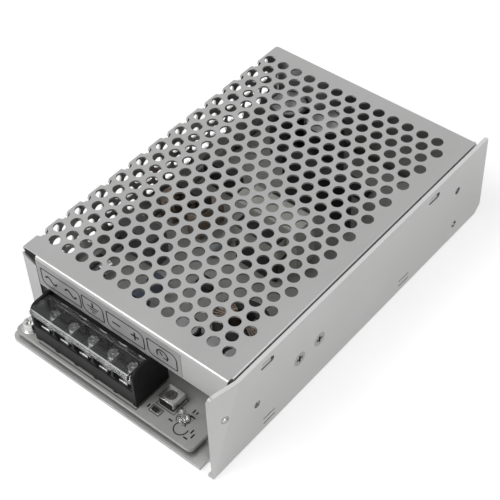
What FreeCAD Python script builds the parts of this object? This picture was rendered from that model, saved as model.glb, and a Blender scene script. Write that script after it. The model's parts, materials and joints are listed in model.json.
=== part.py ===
"""Mesh case switching power supply.

X runs along the short front edge, Y from the terminals to the rear, Z up.
The origin is the middle of the rectangle that the case stands on.
"""

import FreeCAD, Part
import math
import os
import re

import Sketcher

# Driving dimensions, in millimetres and degrees
CASE = {
    "case_width": 98.0,
    "case_length": 159.0,
    "case_height": 38.0,
    "base_gauge": 1.5,
    "base_corner": 3.0,
    "base_bend": 1.2,
    "base_rear_step": 5.1,
    "wall_rear_cut": 4.0,
    "ear_fold_run": 14.9,
    "ear_run": 12.2,
    "ear_lean": 14.0,
    "ear_corner": 2.5,
    "lip_height": 7.5,
    "lip_front_step": 19.5,
    "lip_rear_step": 12.0,
    "cover_gauge": 0.8,
    "cover_bend": 1.2,
    "cover_front_step": 12.6,
    "cover_rear_step": 4.1,
    "cover_wall_gap": 0.7,
    "cover_foot_gap": 0.3,
    "flange_depth": 10.0,
    "flange_front_step": 2.4,
    "flap_height": 14.2,
    "tab_width": 7.0,
    "tab_gap": 0.4,
    "tab_foot_gap": 0.3,
    "tab_drop": 2.2,
    "tab_slope": 2.8,
}
PERFORATION = {
    "hole_radius": 2.45,
    "hole_pitch": 6.675,
    "hole_row_pitch": 5.36,
    "hole_bend_inset": 0.625,
    "hole_bend_depth": 1.7,
    "hole_right_margin": 8.3,
    "hole_front_margin": 10.0,
    "hole_rear_margin": 9.0,
    "side_hole_drop": 4.0,
    "side_hole_margin": 0.5,
    "side_window_drop": 1.75,
    "side_window_low": 14.0,
}
SHEET_LENGTHS = 4
WALL = {
    "lock_slot_length": 6.8,
    "lock_slot_width": 2.6,
    "lock_slot_drop": 4.1,
    "lock_front": 29.0,
    "lock_span": 95.1,
    "lock_boss_gap": 0.5,
    "lock_boss_height": 1.5,
    "device_front": 45.7,
    "device_pitch": 10.9,
    "device_height": 19.2,
    "side_hole_radius": 1.5,
    "side_hole_front": 23.1,
    "side_hole_height": 17.7,
    "rear_hole_step": 18.7,
    "rear_hole_low": 7.6,
    "rear_hole_high": 25.3,
    "ear_hole_front": 7.8,
    "lance_length": 6.0,
    "lance_width": 0.5,
    "lance_pitch": 2.4,
    "lance_height": 3.6,
    "lance_front": 28.8,
    "lance_span": 78.6,
    "notch_width": 3.7,
    "notch_depth": 5.6,
    "notch_inset": 2.7,
    "floor_hole_radius": 1.5,
    "floor_hole_side_inset": 16.5,
    "floor_hole_end_inset": 19.5,
}
BOARD = {
    "board_lift": 1.4,
    "board_thickness": 1.6,
    "board_tongue_inset": 11.7,
    "board_wall_gap": 2.0,
    "board_left_inset": 2.8,
    "board_ear_inset": 1.1,
    "board_front_step": 1.6,
    "board_wide_step": 22.0,
    "board_rear_step": 6.6,
    "board_corner": 2.0,
    "sheet_thickness": 0.3,
    "sheet_side_inset": 3.0,
    "sheet_front_step": 9.5,
    "boss_radius": 3.0,
    "screw_clearance": 0.05,
    "board_screw_inset": 4.3,
    "board_screw_front": 5.5,
    "board_screw_rear": 10.5,
    "board_screw_right_inset": 16.0,
    "board_screw_left_inset": 9.0,
    "board_hole_radius": 1.7,
    "shank_radius": 1.45,
    "flat_washer_radius": 3.3,
    "flat_washer_thickness": 0.5,
    "split_washer_radius": 2.7,
    "split_washer_thickness": 0.8,
    "washer_bore": 1.6,
    "pan_head_radius": 2.8,
    "pan_head_height": 2.2,
    "board_screw_foot": 0.3,
    "cross_width": 0.9,
    "cross_length": 3.2,
    "cross_depth": 1.1,
    "countersink_radius": 2.9,
    "countersink_depth": 1.45,
    "cover_screw_height": 6.2,
    "cover_screw_front": 45.0,
    "cover_screw_span": 80.0,
}
TERMINALS = {
    "cell_pitch": 9.5,
    "cell_count": 5.0,
    "block_wall": 1.0,
    "block_left_inset": 10.6,
    "block_front_step": 3.5,
    "block_depth": 16.5,
    "block_shelf": 7.8,
    "block_divider": 15.5,
    "block_back": 15.7,
    "block_end": 18.1,
    "block_end_corner": 3.0,
    "cell_depth": 9.4,
    "cell_corner": 1.5,
    "divider_step": 0.3,
    "foot_arch_height": 0.8,
    "foot_arch_depth": 1.2,
    "foot_arch_gap": 1.6,
    "plate_thickness": 0.8,
    "plate_gap": 0.35,
    "plate_front_step": 1.6,
    "plate_tongue": 1.0,
    "plate_tongue_width": 3.8,
    "plate_tongue_rise": 0.9,
    "plate_nub_width": 1.0,
    "plate_nub_step": 2.8,
    "plate_nub_length": 1.2,
    "thread_radius": 1.5,
    "terminal_screw_step": 6.2,
    "terminal_shank_length": 6.6,
    "well_half": 2.0,
    "well_floor": 1.2,
    "clamp_size": 6.4,
    "clamp_thickness": 0.9,
    "hinge_step": 7.8,
    "hinge_rise": 16.7,
    "hinge_barrel": 0.9,
    "hinge_pin": 0.6,
    "hinge_bore_gap": 0.05,
    "hinge_pin_length": 0.7,
    "hinge_bore_depth": 0.8,
    "lid_thickness": 0.9,
    "lid_side_gap": 0.2,
    "lid_lip_gap": 0.1,
    "lid_lip_height": 2.5,
    "lid_rib_height": 0.5,
    "lid_rib_relief": 0.3,
}
FRONT_PARTS = {
    "trimmer_share": 0.363,
    "trimmer_front": 13.0,
    "trimmer_width": 6.0,
    "trimmer_depth": 6.5,
    "trimmer_height": 3.6,
    "trimmer_frame_gauge": 0.4,
    "trimmer_frame_gap": 0.05,
    "trimmer_frame_reach": 2.2,
    "rotor_radius": 1.9,
    "rotor_gap": 0.1,
    "rotor_height": 1.5,
    "rotor_sink": 0.8,
    "rotor_slot_width": 0.6,
    "rotor_slot_depth": 0.6,
    "led_step": 7.8,
    "led_front": 9.9,
    "led_radius": 1.5,
    "led_body": 3.9,
    "led_flange_radius": 1.9,
    "led_flange_height": 1.0,
    "led_tip_radius": 0.7,
    "led_tip": 1.2,
    "chip_step": 2.0,
    "chip_front": 6.8,
    "chip_length": 3.2,
    "chip_width": 1.6,
    "chip_height": 0.6,
    "label_side_gap": 0.4,
    "label_width": 67.2,
    "label_margin": 0.7,
    "label_height": 11.8,
    "label_thickness": 0.12,
}
ELECTRONICS = {
    "device_width": 10.0,
    "device_body": 15.5,
    "device_thickness": 4.5,
    "device_hole_drop": 3.0,
    "pad_thickness": 0.3,
    "pad_margin": 1.0,
    "lead_width": 0.8,
    "lead_pitch": 2.54,
    "lead_inset": 2.6,
    "transformer_x": 3.0,
    "transformer_y": 9.0,
    "core_width": 30.0,
    "core_depth": 11.0,
    "core_height": 25.0,
    "core_leg": 5.0,
    "core_seat": 4.0,
    "bobbin_depth": 23.0,
    "bobbin_flange": 1.2,
    "bobbin_wall": 1.0,
    "bobbin_post_width": 9.0,
    "coil_depth": 20.0,
    "bulk_radius": 8.0,
    "bulk_height": 26.0,
    "bulk_left": 21.0,
    "bulk_rear": 22.5,
    "bulk_pitch": 17.5,
    "output_cap_radius": 5.0,
    "output_cap_height": 21.0,
    "output_cap_right": 36.0,
    "output_cap_front": 29.0,
    "output_cap_pitch": 11.0,
    "output_choke_right": 29.0,
    "output_choke_front": 49.5,
    "output_choke_radius": 10.0,
    "output_choke_bore": 5.0,
    "output_choke_height": 9.0,
    "choke_coil_thickness": 1.2,
    "choke_coil_width": 9.0,
    "choke_coil_gap": 0.15,
    "input_choke_left": 15.0,
    "input_choke_y": 4.0,
    "input_choke_length": 18.0,
    "input_choke_width": 14.0,
    "input_choke_height": 16.0,
    "input_choke_bar": 4.0,
    "fuse_radius": 2.6,
    "fuse_length": 20.0,
    "fuse_left": 8.0,
    "fuse_front": 34.5,
    "thermistor_left": 18.0,
    "thermistor_front": 29.5,
    "thermistor_radius": 5.0,
    "thermistor_thickness": 4.0,
    "xcap_left": 13.0,
    "xcap_front": 58.5,
    "xcap_length": 17.5,
    "xcap_width": 8.5,
    "xcap_height": 15.0,
    "ycap_left": 30.0,
    "ycap_front": 35.5,
    "ycap_pitch": 10.0,
    "ycap_radius": 4.0,
    "ycap_thickness": 3.5,
    "bridge_left": 14.0,
    "bridge_rear": 55.5,
    "bridge_length": 18.0,
    "bridge_width": 4.0,
    "bridge_height": 13.0,
    "sink_x": 2.0,
    "sink_rear": 43.5,
    "sink_length": 32.0,
    "sink_gauge": 2.0,
    "sink_height": 24.0,
    "sink_foot": 6.0,
    "sink_device_height": 16.0,
    "resistor_x": -15.5,
    "resistor_y": -2.0,
    "resistor_radius": 2.2,
    "resistor_length": 12.0,
    "opto_x": -6.0,
    "opto_front": 59.5,
    "opto_length": 7.0,
    "opto_width": 5.0,
    "opto_height": 3.5,
    "controller_x": 8.0,
    "controller_rear": 24.5,
    "controller_length": 9.5,
    "controller_width": 6.4,
    "controller_height": 3.4,
}
SIZES = {**CASE, **PERFORATION, **WALL, **BOARD, **TERMINALS, **FRONT_PARTS, **ELECTRONICS}

# Places that follow from the driving dimensions
PLACES = {
    "half_width": "case_width / 2",
    "half_length": "case_length / 2",
    "front": "-half_length",
    "wall_inner": "half_width - base_gauge",
    "cover_inner_left": "-half_width + cover_gauge",
    "cover_right": "wall_inner - cover_wall_gap",
    "cover_front": "front + cover_front_step",
    "cover_rear": "half_length - cover_rear_step",
    "base_rear": "half_length - base_rear_step",
    "base_left": "cover_inner_left + 0.1 * cover_gauge",
    "board_bottom": "base_gauge + board_lift",
    "board_top": "board_bottom + board_thickness",
    "board_right": "half_width - board_tongue_inset",
    "board_wide_right": "wall_inner - board_wall_gap",
    "board_left": "-half_width + board_left_inset",
    "board_ear_left": "-half_width + board_ear_inset",
    "board_screw_right": "half_width - board_screw_right_inset",
    "board_screw_left": "-half_width + board_screw_left_inset",
    "floor_hole_x": "half_width - floor_hole_side_inset",
    "floor_hole_y": "half_length - floor_hole_end_inset",
    "block_x": "-half_width + block_left_inset",
    "block_right": "block_x + cell_count * cell_pitch + 2 * block_wall",
    "block_front": "front + block_front_step",
    "block_rear": "block_front + block_depth",
    "shelf_top": "board_top + block_shelf",
    "cell_rear": "block_front + cell_depth",
    "plate_top": "shelf_top + plate_thickness",
    "terminal_screw_y": "block_front + terminal_screw_step",
    "hinge_y": "block_front + hinge_step",
    "hinge_z": "board_top + hinge_rise",
    "lid_left": "block_x + block_wall + lid_side_gap",
    "lid_right": "block_right - block_wall - lid_side_gap",
    "lid_top": "hinge_z + lid_thickness",
    "lid_lip_back": "block_front - lid_lip_gap",
    "lid_lip_front": "lid_lip_back - lid_thickness",
    "hole_front": "cover_front + hole_front_margin",
    "flap_left": "-half_width + tab_width + tab_gap",
    "label_left": "flap_left + label_side_gap",
    "board_screw_front_x": "board_ear_left + board_screw_inset",
    "board_screw_front_y": "front + board_screw_front",
    "board_screw_rear_y": "half_length - board_screw_rear",
    "front_slack": "board_right - block_right - trimmer_width / 2 - led_step - led_flange_radius",
    "trimmer_x": "block_right + trimmer_width / 2 + trimmer_share * front_slack",
    "led_x": "trimmer_x + led_step",
    "chip_x": "trimmer_x - chip_step",
    "trimmer_y": "front + trimmer_front",
    "trimmer_top": "board_top + trimmer_height",
    "led_y": "front + led_front",
    "device_y": "front + device_front",
    "core_base": "board_top + core_seat",
    "bulk_x": "-half_width + bulk_left",
    "bulk_y": "half_length - bulk_rear",
    "output_cap_x": "half_width - output_cap_right",
    "output_cap_y": "front + output_cap_front",
    "output_choke_x": "half_width - output_choke_right",
    "output_choke_y": "front + output_choke_front",
    "input_choke_x": "-half_width + input_choke_left",
    "fuse_x": "-half_width + fuse_left",
    "fuse_y": "front + fuse_front",
    "thermistor_x": "-half_width + thermistor_left",
    "thermistor_y": "front + thermistor_front",
    "xcap_x": "-half_width + xcap_left",
    "xcap_y": "front + xcap_front",
    "ycap_x": "-half_width + ycap_left",
    "ycap_y": "front + ycap_front",
    "bridge_x": "-half_width + bridge_left",
    "bridge_y": "half_length - bridge_rear",
    "sink_y": "half_length - sink_rear",
    "opto_y": "front + opto_front",
    "controller_y": "half_length - controller_rear",
}

doc = FreeCAD.newDocument("power_supply")
sheet = doc.addObject("Spreadsheet::Sheet", "Sizes")
for row, (alias, number) in enumerate(SIZES.items(), start=1):
    sheet.set(f"A{row}", alias)
    sheet.set(f"B{row}", str(number))
    sheet.setAlias(f"B{row}", alias)
doc.recompute()

nodes = []


def formula(text):
    """Turn names of sizes and places into cells of the sheet."""

    def swap(match):
        word = match.group(0)
        if word in PLACES:
            return "(" + formula(PLACES[word]) + ")"
        return "Sizes." + word

    return re.sub(r"[a-z][a-z_]+", swap, str(text))


def bind(item, **formulas):
    """Bind plain properties of an object to formulas."""
    for name, text in formulas.items():
        item.setExpression(name, formula(text))


def place(item, x=0, y=0, z=0):
    """Bind an object's position to formulas."""
    for axis, text in (("x", x), ("y", y), ("z", z)):
        item.setExpression(f"Placement.Base.{axis}", formula(text))


def node(item, name):
    """Name a finished sub-part."""
    item.Label = name
    nodes.append(item)
    return item


def box(name, x, y, z):
    """A block between pairs of formulas."""
    item = doc.addObject("Part::Box", name)
    spans = [f"({high}) - ({low})" for low, high in (x, y, z)]
    bind(item, Length=spans[0], Width=spans[1], Height=spans[2])
    place(item, x[0], y[0], z[0])
    return item


def centred(name, x, y, z, length, width, height):
    """A block centred at x, y that stands on z."""
    return box(
        name,
        (f"{x} - ({length}) / 2", f"{x} + ({length}) / 2"),
        (f"{y} - ({width}) / 2", f"{y} + ({width}) / 2"),
        (z, f"{z} + {height}"),
    )


TURNS = {
    "z": FreeCAD.Rotation(),
    "x": FreeCAD.Rotation(FreeCAD.Vector(0, 1, 0), 90),
    "y": FreeCAD.Rotation(FreeCAD.Vector(1, 0, 0), -90),
}


def rod(name, start, radius, length, axis="z"):
    """A cylinder from a start point along an axis."""
    item = doc.addObject("Part::Cylinder", name)
    item.Placement = FreeCAD.Placement(FreeCAD.Vector(), TURNS[axis])
    bind(item, Radius=radius, Height=length)
    place(item, *start)
    return item


def cone(name, start, first, second, length, axis="z"):
    """A cone from a start point along an axis."""
    item = doc.addObject("Part::Cone", name)
    item.Placement = FreeCAD.Placement(FreeCAD.Vector(), TURNS[axis])
    bind(item, Radius1=first, Radius2=second, Height=length)
    place(item, *start)
    return item


def fuse(name, *items):
    """One solid made of several."""
    item = doc.addObject("Part::MultiFuse", name)
    item.Shapes = list(items)
    return item


def cut(name, base, *tools):
    """A solid with tools taken away."""
    tool = tools[0] if len(tools) == 1 else fuse(name + "_tools", *tools)
    item = doc.addObject("Part::Cut", name)
    item.Base = base
    item.Tool = tool
    return item


def group(name, *items):
    """Separate like solids kept together."""
    item = doc.addObject("Part::Compound", name)
    item.Links = list(items)
    return item


def body(name):
    """A body and a table of its origin planes and axes."""
    item = doc.addObject("PartDesign::Body", name)
    return item, {feature.Role: feature for feature in item.Origin.OriginFeatures}


def sketch(part, name, plane, offset=0):
    """A sketch on an origin plane, moved along the plane's normal."""
    item, datums = part
    result = item.newObject("Sketcher::SketchObject", name)
    result.AttachmentSupport = (datums[plane], "")
    result.MapMode = "FlatFace"
    result.setExpression("AttachmentOffset.Base.z", formula(offset))
    return result


def fix(drawing, geometry, point, x, y):
    """Tie a point of a sketch to two formulas."""
    start = drawing.getPoint(geometry, point)
    for kind, now, text in (("DistanceX", start.x, x), ("DistanceY", start.y, y)):
        index = drawing.addConstraint(Sketcher.Constraint(kind, -1, 1, geometry, point, now))
        drawing.setExpression(f"Constraints[{index}]", formula(text))


def outline(drawing, points):
    """A closed run of straight lines through points given as formulas."""
    first = drawing.GeometryCount
    count = len(points)
    for index in range(count):
        angle = 2 * math.pi * index / count
        start = FreeCAD.Vector(math.cos(angle), math.sin(angle), 0)
        angle = 2 * math.pi * (index + 1) / count
        end = FreeCAD.Vector(math.cos(angle), math.sin(angle), 0)
        drawing.addGeometry(Part.LineSegment(start, end))
    for index in range(count):
        following = first + (index + 1) % count
        drawing.addConstraint(Sketcher.Constraint("Coincident", first + index, 2, following, 1))
    for index, (x, y) in enumerate(points):
        fix(drawing, first + index, 1, x, y)
    return drawing


def rectangle(drawing, x, y):
    """A rectangle between pairs of formulas."""
    return outline(drawing, [(x[0], y[0]), (x[1], y[0]), (x[1], y[1]), (x[0], y[1])])


def circle(drawing, x, y, radius):
    """A circle at a point given as formulas."""
    index = drawing.addGeometry(Part.Circle(FreeCAD.Vector(), FreeCAD.Vector(0, 0, 1), 1.0))
    fix(drawing, index, 3, x, y)
    constraint = drawing.addConstraint(Sketcher.Constraint("Radius", index, 1.0))
    drawing.setExpression(f"Constraints[{constraint}]", formula(radius))
    return drawing


def obround(drawing, x, y, length, width):
    """A slot with round ends, centred at x, y and long across the sketch."""
    first = drawing.GeometryCount
    centre = FreeCAD.Vector(1, 0, 0)
    up = FreeCAD.Vector(0, 0, 1)
    for middle, start, end in ((-centre, 90, 270), (centre, -90, 90)):
        arc = Part.ArcOfCircle(Part.Circle(middle, up, 0.5), math.radians(start), math.radians(end))
        drawing.addGeometry(arc)
    for height in (0.5, -0.5):
        start = FreeCAD.Vector(-1, height, 0)
        drawing.addGeometry(Part.LineSegment(start, FreeCAD.Vector(1, height, 0)))
    left, right, top, bottom = range(first, first + 4)
    for arc, arc_end, line, line_end in (
        (left, 1, top, 1), (left, 2, bottom, 1), (right, 2, top, 2), (right, 1, bottom, 2),
    ):
        drawing.addConstraint(Sketcher.Constraint("Tangent", arc, arc_end, line, line_end))
    drawing.addConstraint(Sketcher.Constraint("Equal", left, right))
    fix(drawing, left, 3, f"{x} - (({length}) - ({width})) / 2", y)
    fix(drawing, right, 3, f"{x} + (({length}) - ({width})) / 2", y)
    constraint = drawing.addConstraint(Sketcher.Constraint("Radius", left, 0.5))
    drawing.setExpression(f"Constraints[{constraint}]", formula(f"({width}) / 2"))
    return drawing


def pad(part, drawing, length, against=False):
    """Add material from a sketch along its normal, or against it."""
    item = part[0].newObject("PartDesign::Pad", drawing.Name + "_pad")
    item.Profile = drawing
    item.Reversed = against
    bind(item, Length=length)
    doc.recompute()
    return item


def pocket(part, drawing, length, along=False):
    """Remove material against the sketch's normal, or along it."""
    item = part[0].newObject("PartDesign::Pocket", drawing.Name + "_pocket")
    item.Profile = drawing
    item.Reversed = along
    bind(item, Length=length)
    doc.recompute()
    return item


def repeat(part, feature, axis, spacing, count, second=None):
    """Repeat a feature along an origin axis, and a second axis where one is given."""
    item = part[0].newObject("PartDesign::LinearPattern", feature.Name + "_row")
    item.Originals = [feature]
    item.Direction = (part[1][axis], [""])
    item.Mode = "Spacing"
    bind(item, Offset=spacing, Occurrences=count)
    if second:
        item.Direction2 = (part[1][second[0]], [""])
        item.Mode2 = "Spacing"
        bind(item, Offset2=second[1], Occurrences2=second[2])
    part[0].Tip = item
    doc.recompute()
    return item


def round_edges(part, feature, radius, *tests):
    """Round the edges whose two ends both satisfy one of the tests."""
    names = []
    for index, edge in enumerate(feature.Shape.Edges, start=1):
        ends = [vertex.Point for vertex in edge.Vertexes]
        if len(ends) == 2 and any(all(test(end) for end in ends) for test in tests):
            names.append(f"Edge{index}")
    item = part[0].newObject("PartDesign::Fillet", feature.Name + "_round")
    item.Base = (feature, names)
    bind(item, Radius=radius)
    doc.recompute()
    return item


def near(first, second):
    """True where two lengths agree."""
    return abs(first - second) < 1e-4


def base_chassis():
    """Folded floor, right wall and low left lip, in one sheet."""
    part = body("base")
    floor = sketch(part, "floor", "XY_Plane")
    outline(floor, [
        ("-half_width", "front"),
        ("half_width", "front"),
        ("half_width", "base_rear"),
        ("base_left", "base_rear"),
        ("base_left", "cover_front"),
        ("-half_width", "cover_front"),
    ])
    floor_pad = pad(part, floor, "base_gauge")
    half_width = CASE["case_width"] / 2
    front = -CASE["case_length"] / 2
    corner = round_edges(
        part, floor_pad, "base_corner",
        lambda end: near(end.x, -half_width) and near(end.y, front),
    )
    wall = sketch(part, "wall", "YZ_Plane", "wall_inner")
    outline(wall, [
        ("front", "0"),
        ("half_length - wall_rear_cut", "0"),
        ("half_length", "wall_rear_cut"),
        ("half_length", "case_height"),
        ("front + ear_fold_run", "case_height"),
        ("front", "base_gauge"),
    ])
    wall_pad = pad(part, wall, "base_gauge")
    bend = round_edges(
        part, wall_pad, "base_bend",
        lambda end: near(end.x, half_width) and near(end.z, 0),
    )
    lip = sketch(part, "lip", "YZ_Plane", "base_left")
    rectangle(
        lip,
        ("cover_front + lip_front_step - cover_front_step", "base_rear - lip_rear_step"),
        ("0", "base_gauge + lip_height"),
    )
    pad(part, lip, "base_gauge")

    # The ear is a triangle that leans inward about the slanted fold line
    run = CASE["ear_fold_run"]
    rise = CASE["case_height"] - CASE["base_gauge"]
    ear = sketch(part, "ear", "YZ_Plane")
    ear.AttachmentOffset = FreeCAD.Placement(
        FreeCAD.Vector(), FreeCAD.Rotation(FreeCAD.Vector(run, rise, 0), -CASE["ear_lean"])
    )
    bind(ear, **{
        "AttachmentOffset.Base.x": "front + ear_fold_run",
        "AttachmentOffset.Base.y": "case_height",
        "AttachmentOffset.Base.z": "half_width",
    })
    outline(ear, [
        ("0", "0"),
        ("-ear_run", "0"),
        ("-ear_fold_run", "base_gauge - case_height"),
    ])
    ear_pad = pad(part, ear, "base_gauge", against=True)
    tip = ear.Placement.multVec(FreeCAD.Vector(-CASE["ear_run"], 0, 0))
    round_edges(
        part, ear_pad, "ear_corner",
        lambda end: end.distanceToPoint(tip) < 1.01 * CASE["base_gauge"],
    )

    boss = sketch(part, "boss", "XY_Plane", "base_gauge")
    for x, y in board_screw_places():
        circle(boss, x, y, "boss_radius")
    pad(part, boss, "board_lift")
    threads = sketch(part, "threads", "XY_Plane", "board_bottom")
    for x, y in board_screw_places():
        circle(threads, x, y, "shank_radius + screw_clearance")
    pocket(part, threads, "board_bottom")

    holes = sketch(part, "floor_holes", "XY_Plane", "base_gauge")
    for x, y in floor_hole_places():
        circle(holes, x, y, "floor_hole_radius")
    pocket(part, holes, "base_gauge")
    notch = sketch(part, "notch", "XY_Plane", "base_gauge")
    right = "half_width - notch_inset"
    left = f"{right} - notch_width"
    end = "front + notch_depth - notch_width / 2"
    rectangle(notch, (left, right), ("front - notch_width", end))
    pocket(part, notch, "base_gauge")
    notch_end = sketch(part, "notch_end", "XY_Plane", "base_gauge")
    circle(notch_end, f"{right} - notch_width / 2", end, "notch_width / 2")
    pocket(part, notch_end, "base_gauge")
    wall_openings(part)
    sinks = []
    for index, y in enumerate(device_places()):
        sinks += countersink(f"wall_sink_{index}", y, "device_height", 1, "base_gauge")
    for index, y in enumerate(cover_screw_places()):
        sinks += countersink(f"lip_sink_{index}", y, "cover_screw_height", -1, "3 * base_gauge")
    return node(cut("base_sheet", part[0], *sinks), "base_chassis")


def floor_hole_places():
    """Centres of the mounting holes in the floor."""
    return [(side + "(floor_hole_x)", end + "(floor_hole_y)") for side in ("-", "") for end in ("-", "")]


def board_screw_places():
    """Centres of the screws that hold the board."""
    return (
        ("board_screw_front_x", "board_screw_front_y"),
        ("board_screw_left", "board_screw_rear_y"),
        ("board_screw_right", "board_screw_rear_y"),
    )


def countersink(name, y, z, side, reach):
    """Cone and bore of a flush screw, from the right face, or the left where side is -1."""
    narrow = "countersink_radius - countersink_depth + screw_clearance"
    wide = "countersink_radius + screw_clearance"
    if side > 0:
        return [
            cone(name + "_cone", ("half_width - countersink_depth", y, z), narrow, wide,
                 "countersink_depth", "x"),
            rod(name + "_bore", (f"half_width - {reach}", y, z), narrow, reach, "x"),
        ]
    return [
        cone(name + "_cone", ("-half_width", y, z), wide, narrow, "countersink_depth", "x"),
        rod(name + "_bore", ("-half_width", y, z), narrow, reach, "x"),
    ]


def wall_openings(part):
    """Slots, threads and lances in the right wall."""
    slots = sketch(part, "lock_slots", "YZ_Plane", "half_width")
    for y in lock_places():
        obround(slots, y, "case_height - lock_slot_drop", "lock_slot_length", "lock_slot_width")
    pocket(part, slots, "base_gauge")
    threads = sketch(part, "side_threads", "YZ_Plane", "half_width")
    circle(threads, "front + side_hole_front", "side_hole_height", "side_hole_radius")
    circle(threads, "half_length - rear_hole_step", "rear_hole_low", "side_hole_radius")
    circle(threads, "half_length - rear_hole_step", "rear_hole_high", "side_hole_radius")
    pocket(part, threads, "base_gauge")
    ear_hole = sketch(part, "ear_hole", "YZ_Plane", "half_width")
    circle(ear_hole, "front + ear_hole_front", "rear_hole_high", "side_hole_radius")
    pocket(part, ear_hole, "4 * base_gauge")
    lances = sketch(part, "lances", "YZ_Plane", "half_width")
    for y in ("front + lance_front", "front + lance_front + lance_span"):
        for z in ("lance_height", "lance_height + lance_pitch"):
            low = f"{y} - lance_length / 2"
            rectangle(lances, (low, f"{y} + lance_length / 2"), (z, f"{z} + lance_width"))
    pocket(part, lances, "base_gauge")


def lock_places():
    """Y of the slots that the cover's bosses lock into."""
    return ("front + lock_front", "front + lock_front + lock_span")


def device_places():
    """Y of the devices clamped to the right wall."""
    return ("device_y", "device_y + device_pitch")


def cover_screw_places():
    """Y of the screws that hold the cover's left side."""
    return ("front + cover_screw_front", "front + cover_screw_front + cover_screw_span")


def perforated_cover():
    """One folded sheet with staggered rows of holes."""
    part = body("cover")
    half_width = CASE["case_width"] / 2
    height = CASE["case_height"]
    fold = sketch(part, "fold", "XZ_Plane", "-cover_front")
    outline(fold, [
        ("-half_width", "cover_foot_gap"),
        ("-half_width", "case_height"),
        ("cover_right", "case_height"),
        ("cover_right", "case_height - flange_depth"),
        ("cover_right - cover_gauge", "case_height - flange_depth"),
        ("cover_right - cover_gauge", "case_height - cover_gauge"),
        ("cover_inner_left", "case_height - cover_gauge"),
        ("cover_inner_left", "cover_foot_gap"),
    ])
    pad(part, fold, "cover_rear - cover_front", against=True)
    rear = sketch(part, "rear", "XZ_Plane", "-cover_rear")
    rectangle(
        rear,
        ("cover_inner_left", "cover_right - cover_gauge"),
        ("cover_foot_gap", "case_height - cover_gauge"),
    )
    rear_pad = pad(part, rear, "cover_gauge")
    back = CASE["case_length"] / 2 - CASE["cover_rear_step"]
    round_edges(
        part, rear_pad, "cover_bend",
        lambda end: near(end.z, height) and near(end.x, -half_width),
        lambda end: near(end.z, height) and near(end.x, cover_right_edge()),
        lambda end: near(end.z, height) and near(end.y, back),
    )
    flap_right = "cover_right - cover_gauge"
    left_relief = sketch(part, "left_relief", "XY_Plane", "case_height")
    rectangle(left_relief, ("-half_width", "flap_left"), ("cover_front", "cover_front + cover_bend"))
    pocket(part, left_relief, "cover_bend")
    relief = sketch(part, "right_relief", "XY_Plane", "case_height")
    rectangle(relief, (flap_right, "half_width"), ("cover_front", "cover_front + flange_front_step"))
    pocket(part, relief, "flange_depth")
    flap = sketch(part, "flap", "XZ_Plane", "-cover_front")
    rectangle(
        flap, ("flap_left", flap_right), ("case_height - flap_height", "case_height - cover_gauge")
    )
    flap_pad = pad(part, flap, "cover_gauge", against=True)
    front = -CASE["case_length"] / 2 + CASE["cover_front_step"]
    round_edges(
        part, flap_pad, "cover_bend", lambda end: near(end.z, height) and near(end.y, front)
    )
    tab = sketch(part, "tab", "XZ_Plane", "-cover_front")
    outline(tab, [
        ("cover_inner_left", "board_top + tab_foot_gap"),
        ("-half_width + tab_width", "board_top + tab_foot_gap"),
        ("-half_width + tab_width", "case_height - tab_drop - tab_slope"),
        ("cover_inner_left", "case_height - tab_drop"),
    ])
    pad(part, tab, "cover_gauge", against=True)
    lock_bosses(part)

    # The flat sheet inside the bends is swapped for perforated sheet
    top_window = sketch(part, "top_window", "XY_Plane", "case_height")
    rectangle(
        top_window,
        ("-half_width + cover_bend", "cover_right - cover_bend"),
        ("cover_front + flange_front_step", "cover_rear - cover_bend"),
    )
    pocket(part, top_window, "cover_bend")
    side_window = sketch(part, "side_window", "YZ_Plane", "-half_width")
    rectangle(
        side_window,
        ("cover_front + flange_front_step", "cover_rear - cover_bend"),
        ("side_window_low", "case_height - side_window_drop"),
    )
    pocket(part, side_window, "cover_bend", along=True)
    holes = []
    for index in range(hole_row_count() // 2):
        prism = doc.addObject("Part::Prism", f"bend_hole_{index}")
        prism.Polygon = 6
        prism.Placement.Rotation = FreeCAD.Rotation(FreeCAD.Vector(0, 0, 1), 30)
        bind(prism, Circumradius="hole_radius", Height="2 * hole_bend_depth")
        row = f"hole_front + {2 * index} * hole_row_pitch"
        place(prism, "-half_width + hole_bend_inset", row, "case_height - hole_bend_depth")
        holes.append(prism)
    for index, y in enumerate(cover_screw_places()):
        holes += countersink(f"cover_sink_{index}", y, "cover_screw_height", -1, "2 * cover_gauge")
    frame = doc.addObject("Part::Cut", "cover_frame")
    frame.Base = part[0]
    frame.Tool = group("cover_holes", *holes)
    mesh = doc.addObject("Part::MultiFuse", "cover_mesh")
    mesh.Shapes = [frame] + top_plates() + side_plates()
    mesh.Refine = False
    return node(mesh, "perforated_cover")


def cover_right_edge():
    """X of the cover's right face."""
    return CASE["case_width"] / 2 - CASE["base_gauge"] - CASE["cover_wall_gap"]


def cover_length():
    """Length of the cover."""
    return CASE["case_length"] - CASE["cover_front_step"] - CASE["cover_rear_step"]


def steps_within(room, step):
    """Whole steps that fit in a room."""
    return int(room / step + 1e-6)


def hole_column_count():
    """Columns of holes between the left bend and the right margin."""
    margins = PERFORATION["hole_bend_inset"] + PERFORATION["hole_right_margin"]
    return steps_within(CASE["case_width"] / 2 + cover_right_edge() - margins, PERFORATION["hole_pitch"])


def hole_row_count():
    """Rows of holes along the cover, an even number."""
    room = cover_length() - PERFORATION["hole_front_margin"] - PERFORATION["hole_rear_margin"]
    return 2 * ((1 + steps_within(room, PERFORATION["hole_row_pitch"])) // 2)


def side_column_count():
    """Columns of holes down the left side."""
    pitch = PERFORATION["hole_pitch"]
    edges = PERFORATION["side_hole_drop"] + PERFORATION["hole_radius"] + PERFORATION["side_hole_margin"]
    return 1 + steps_within(CASE["case_height"] - PERFORATION["side_window_low"] - edges - pitch / 2, pitch)


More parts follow.
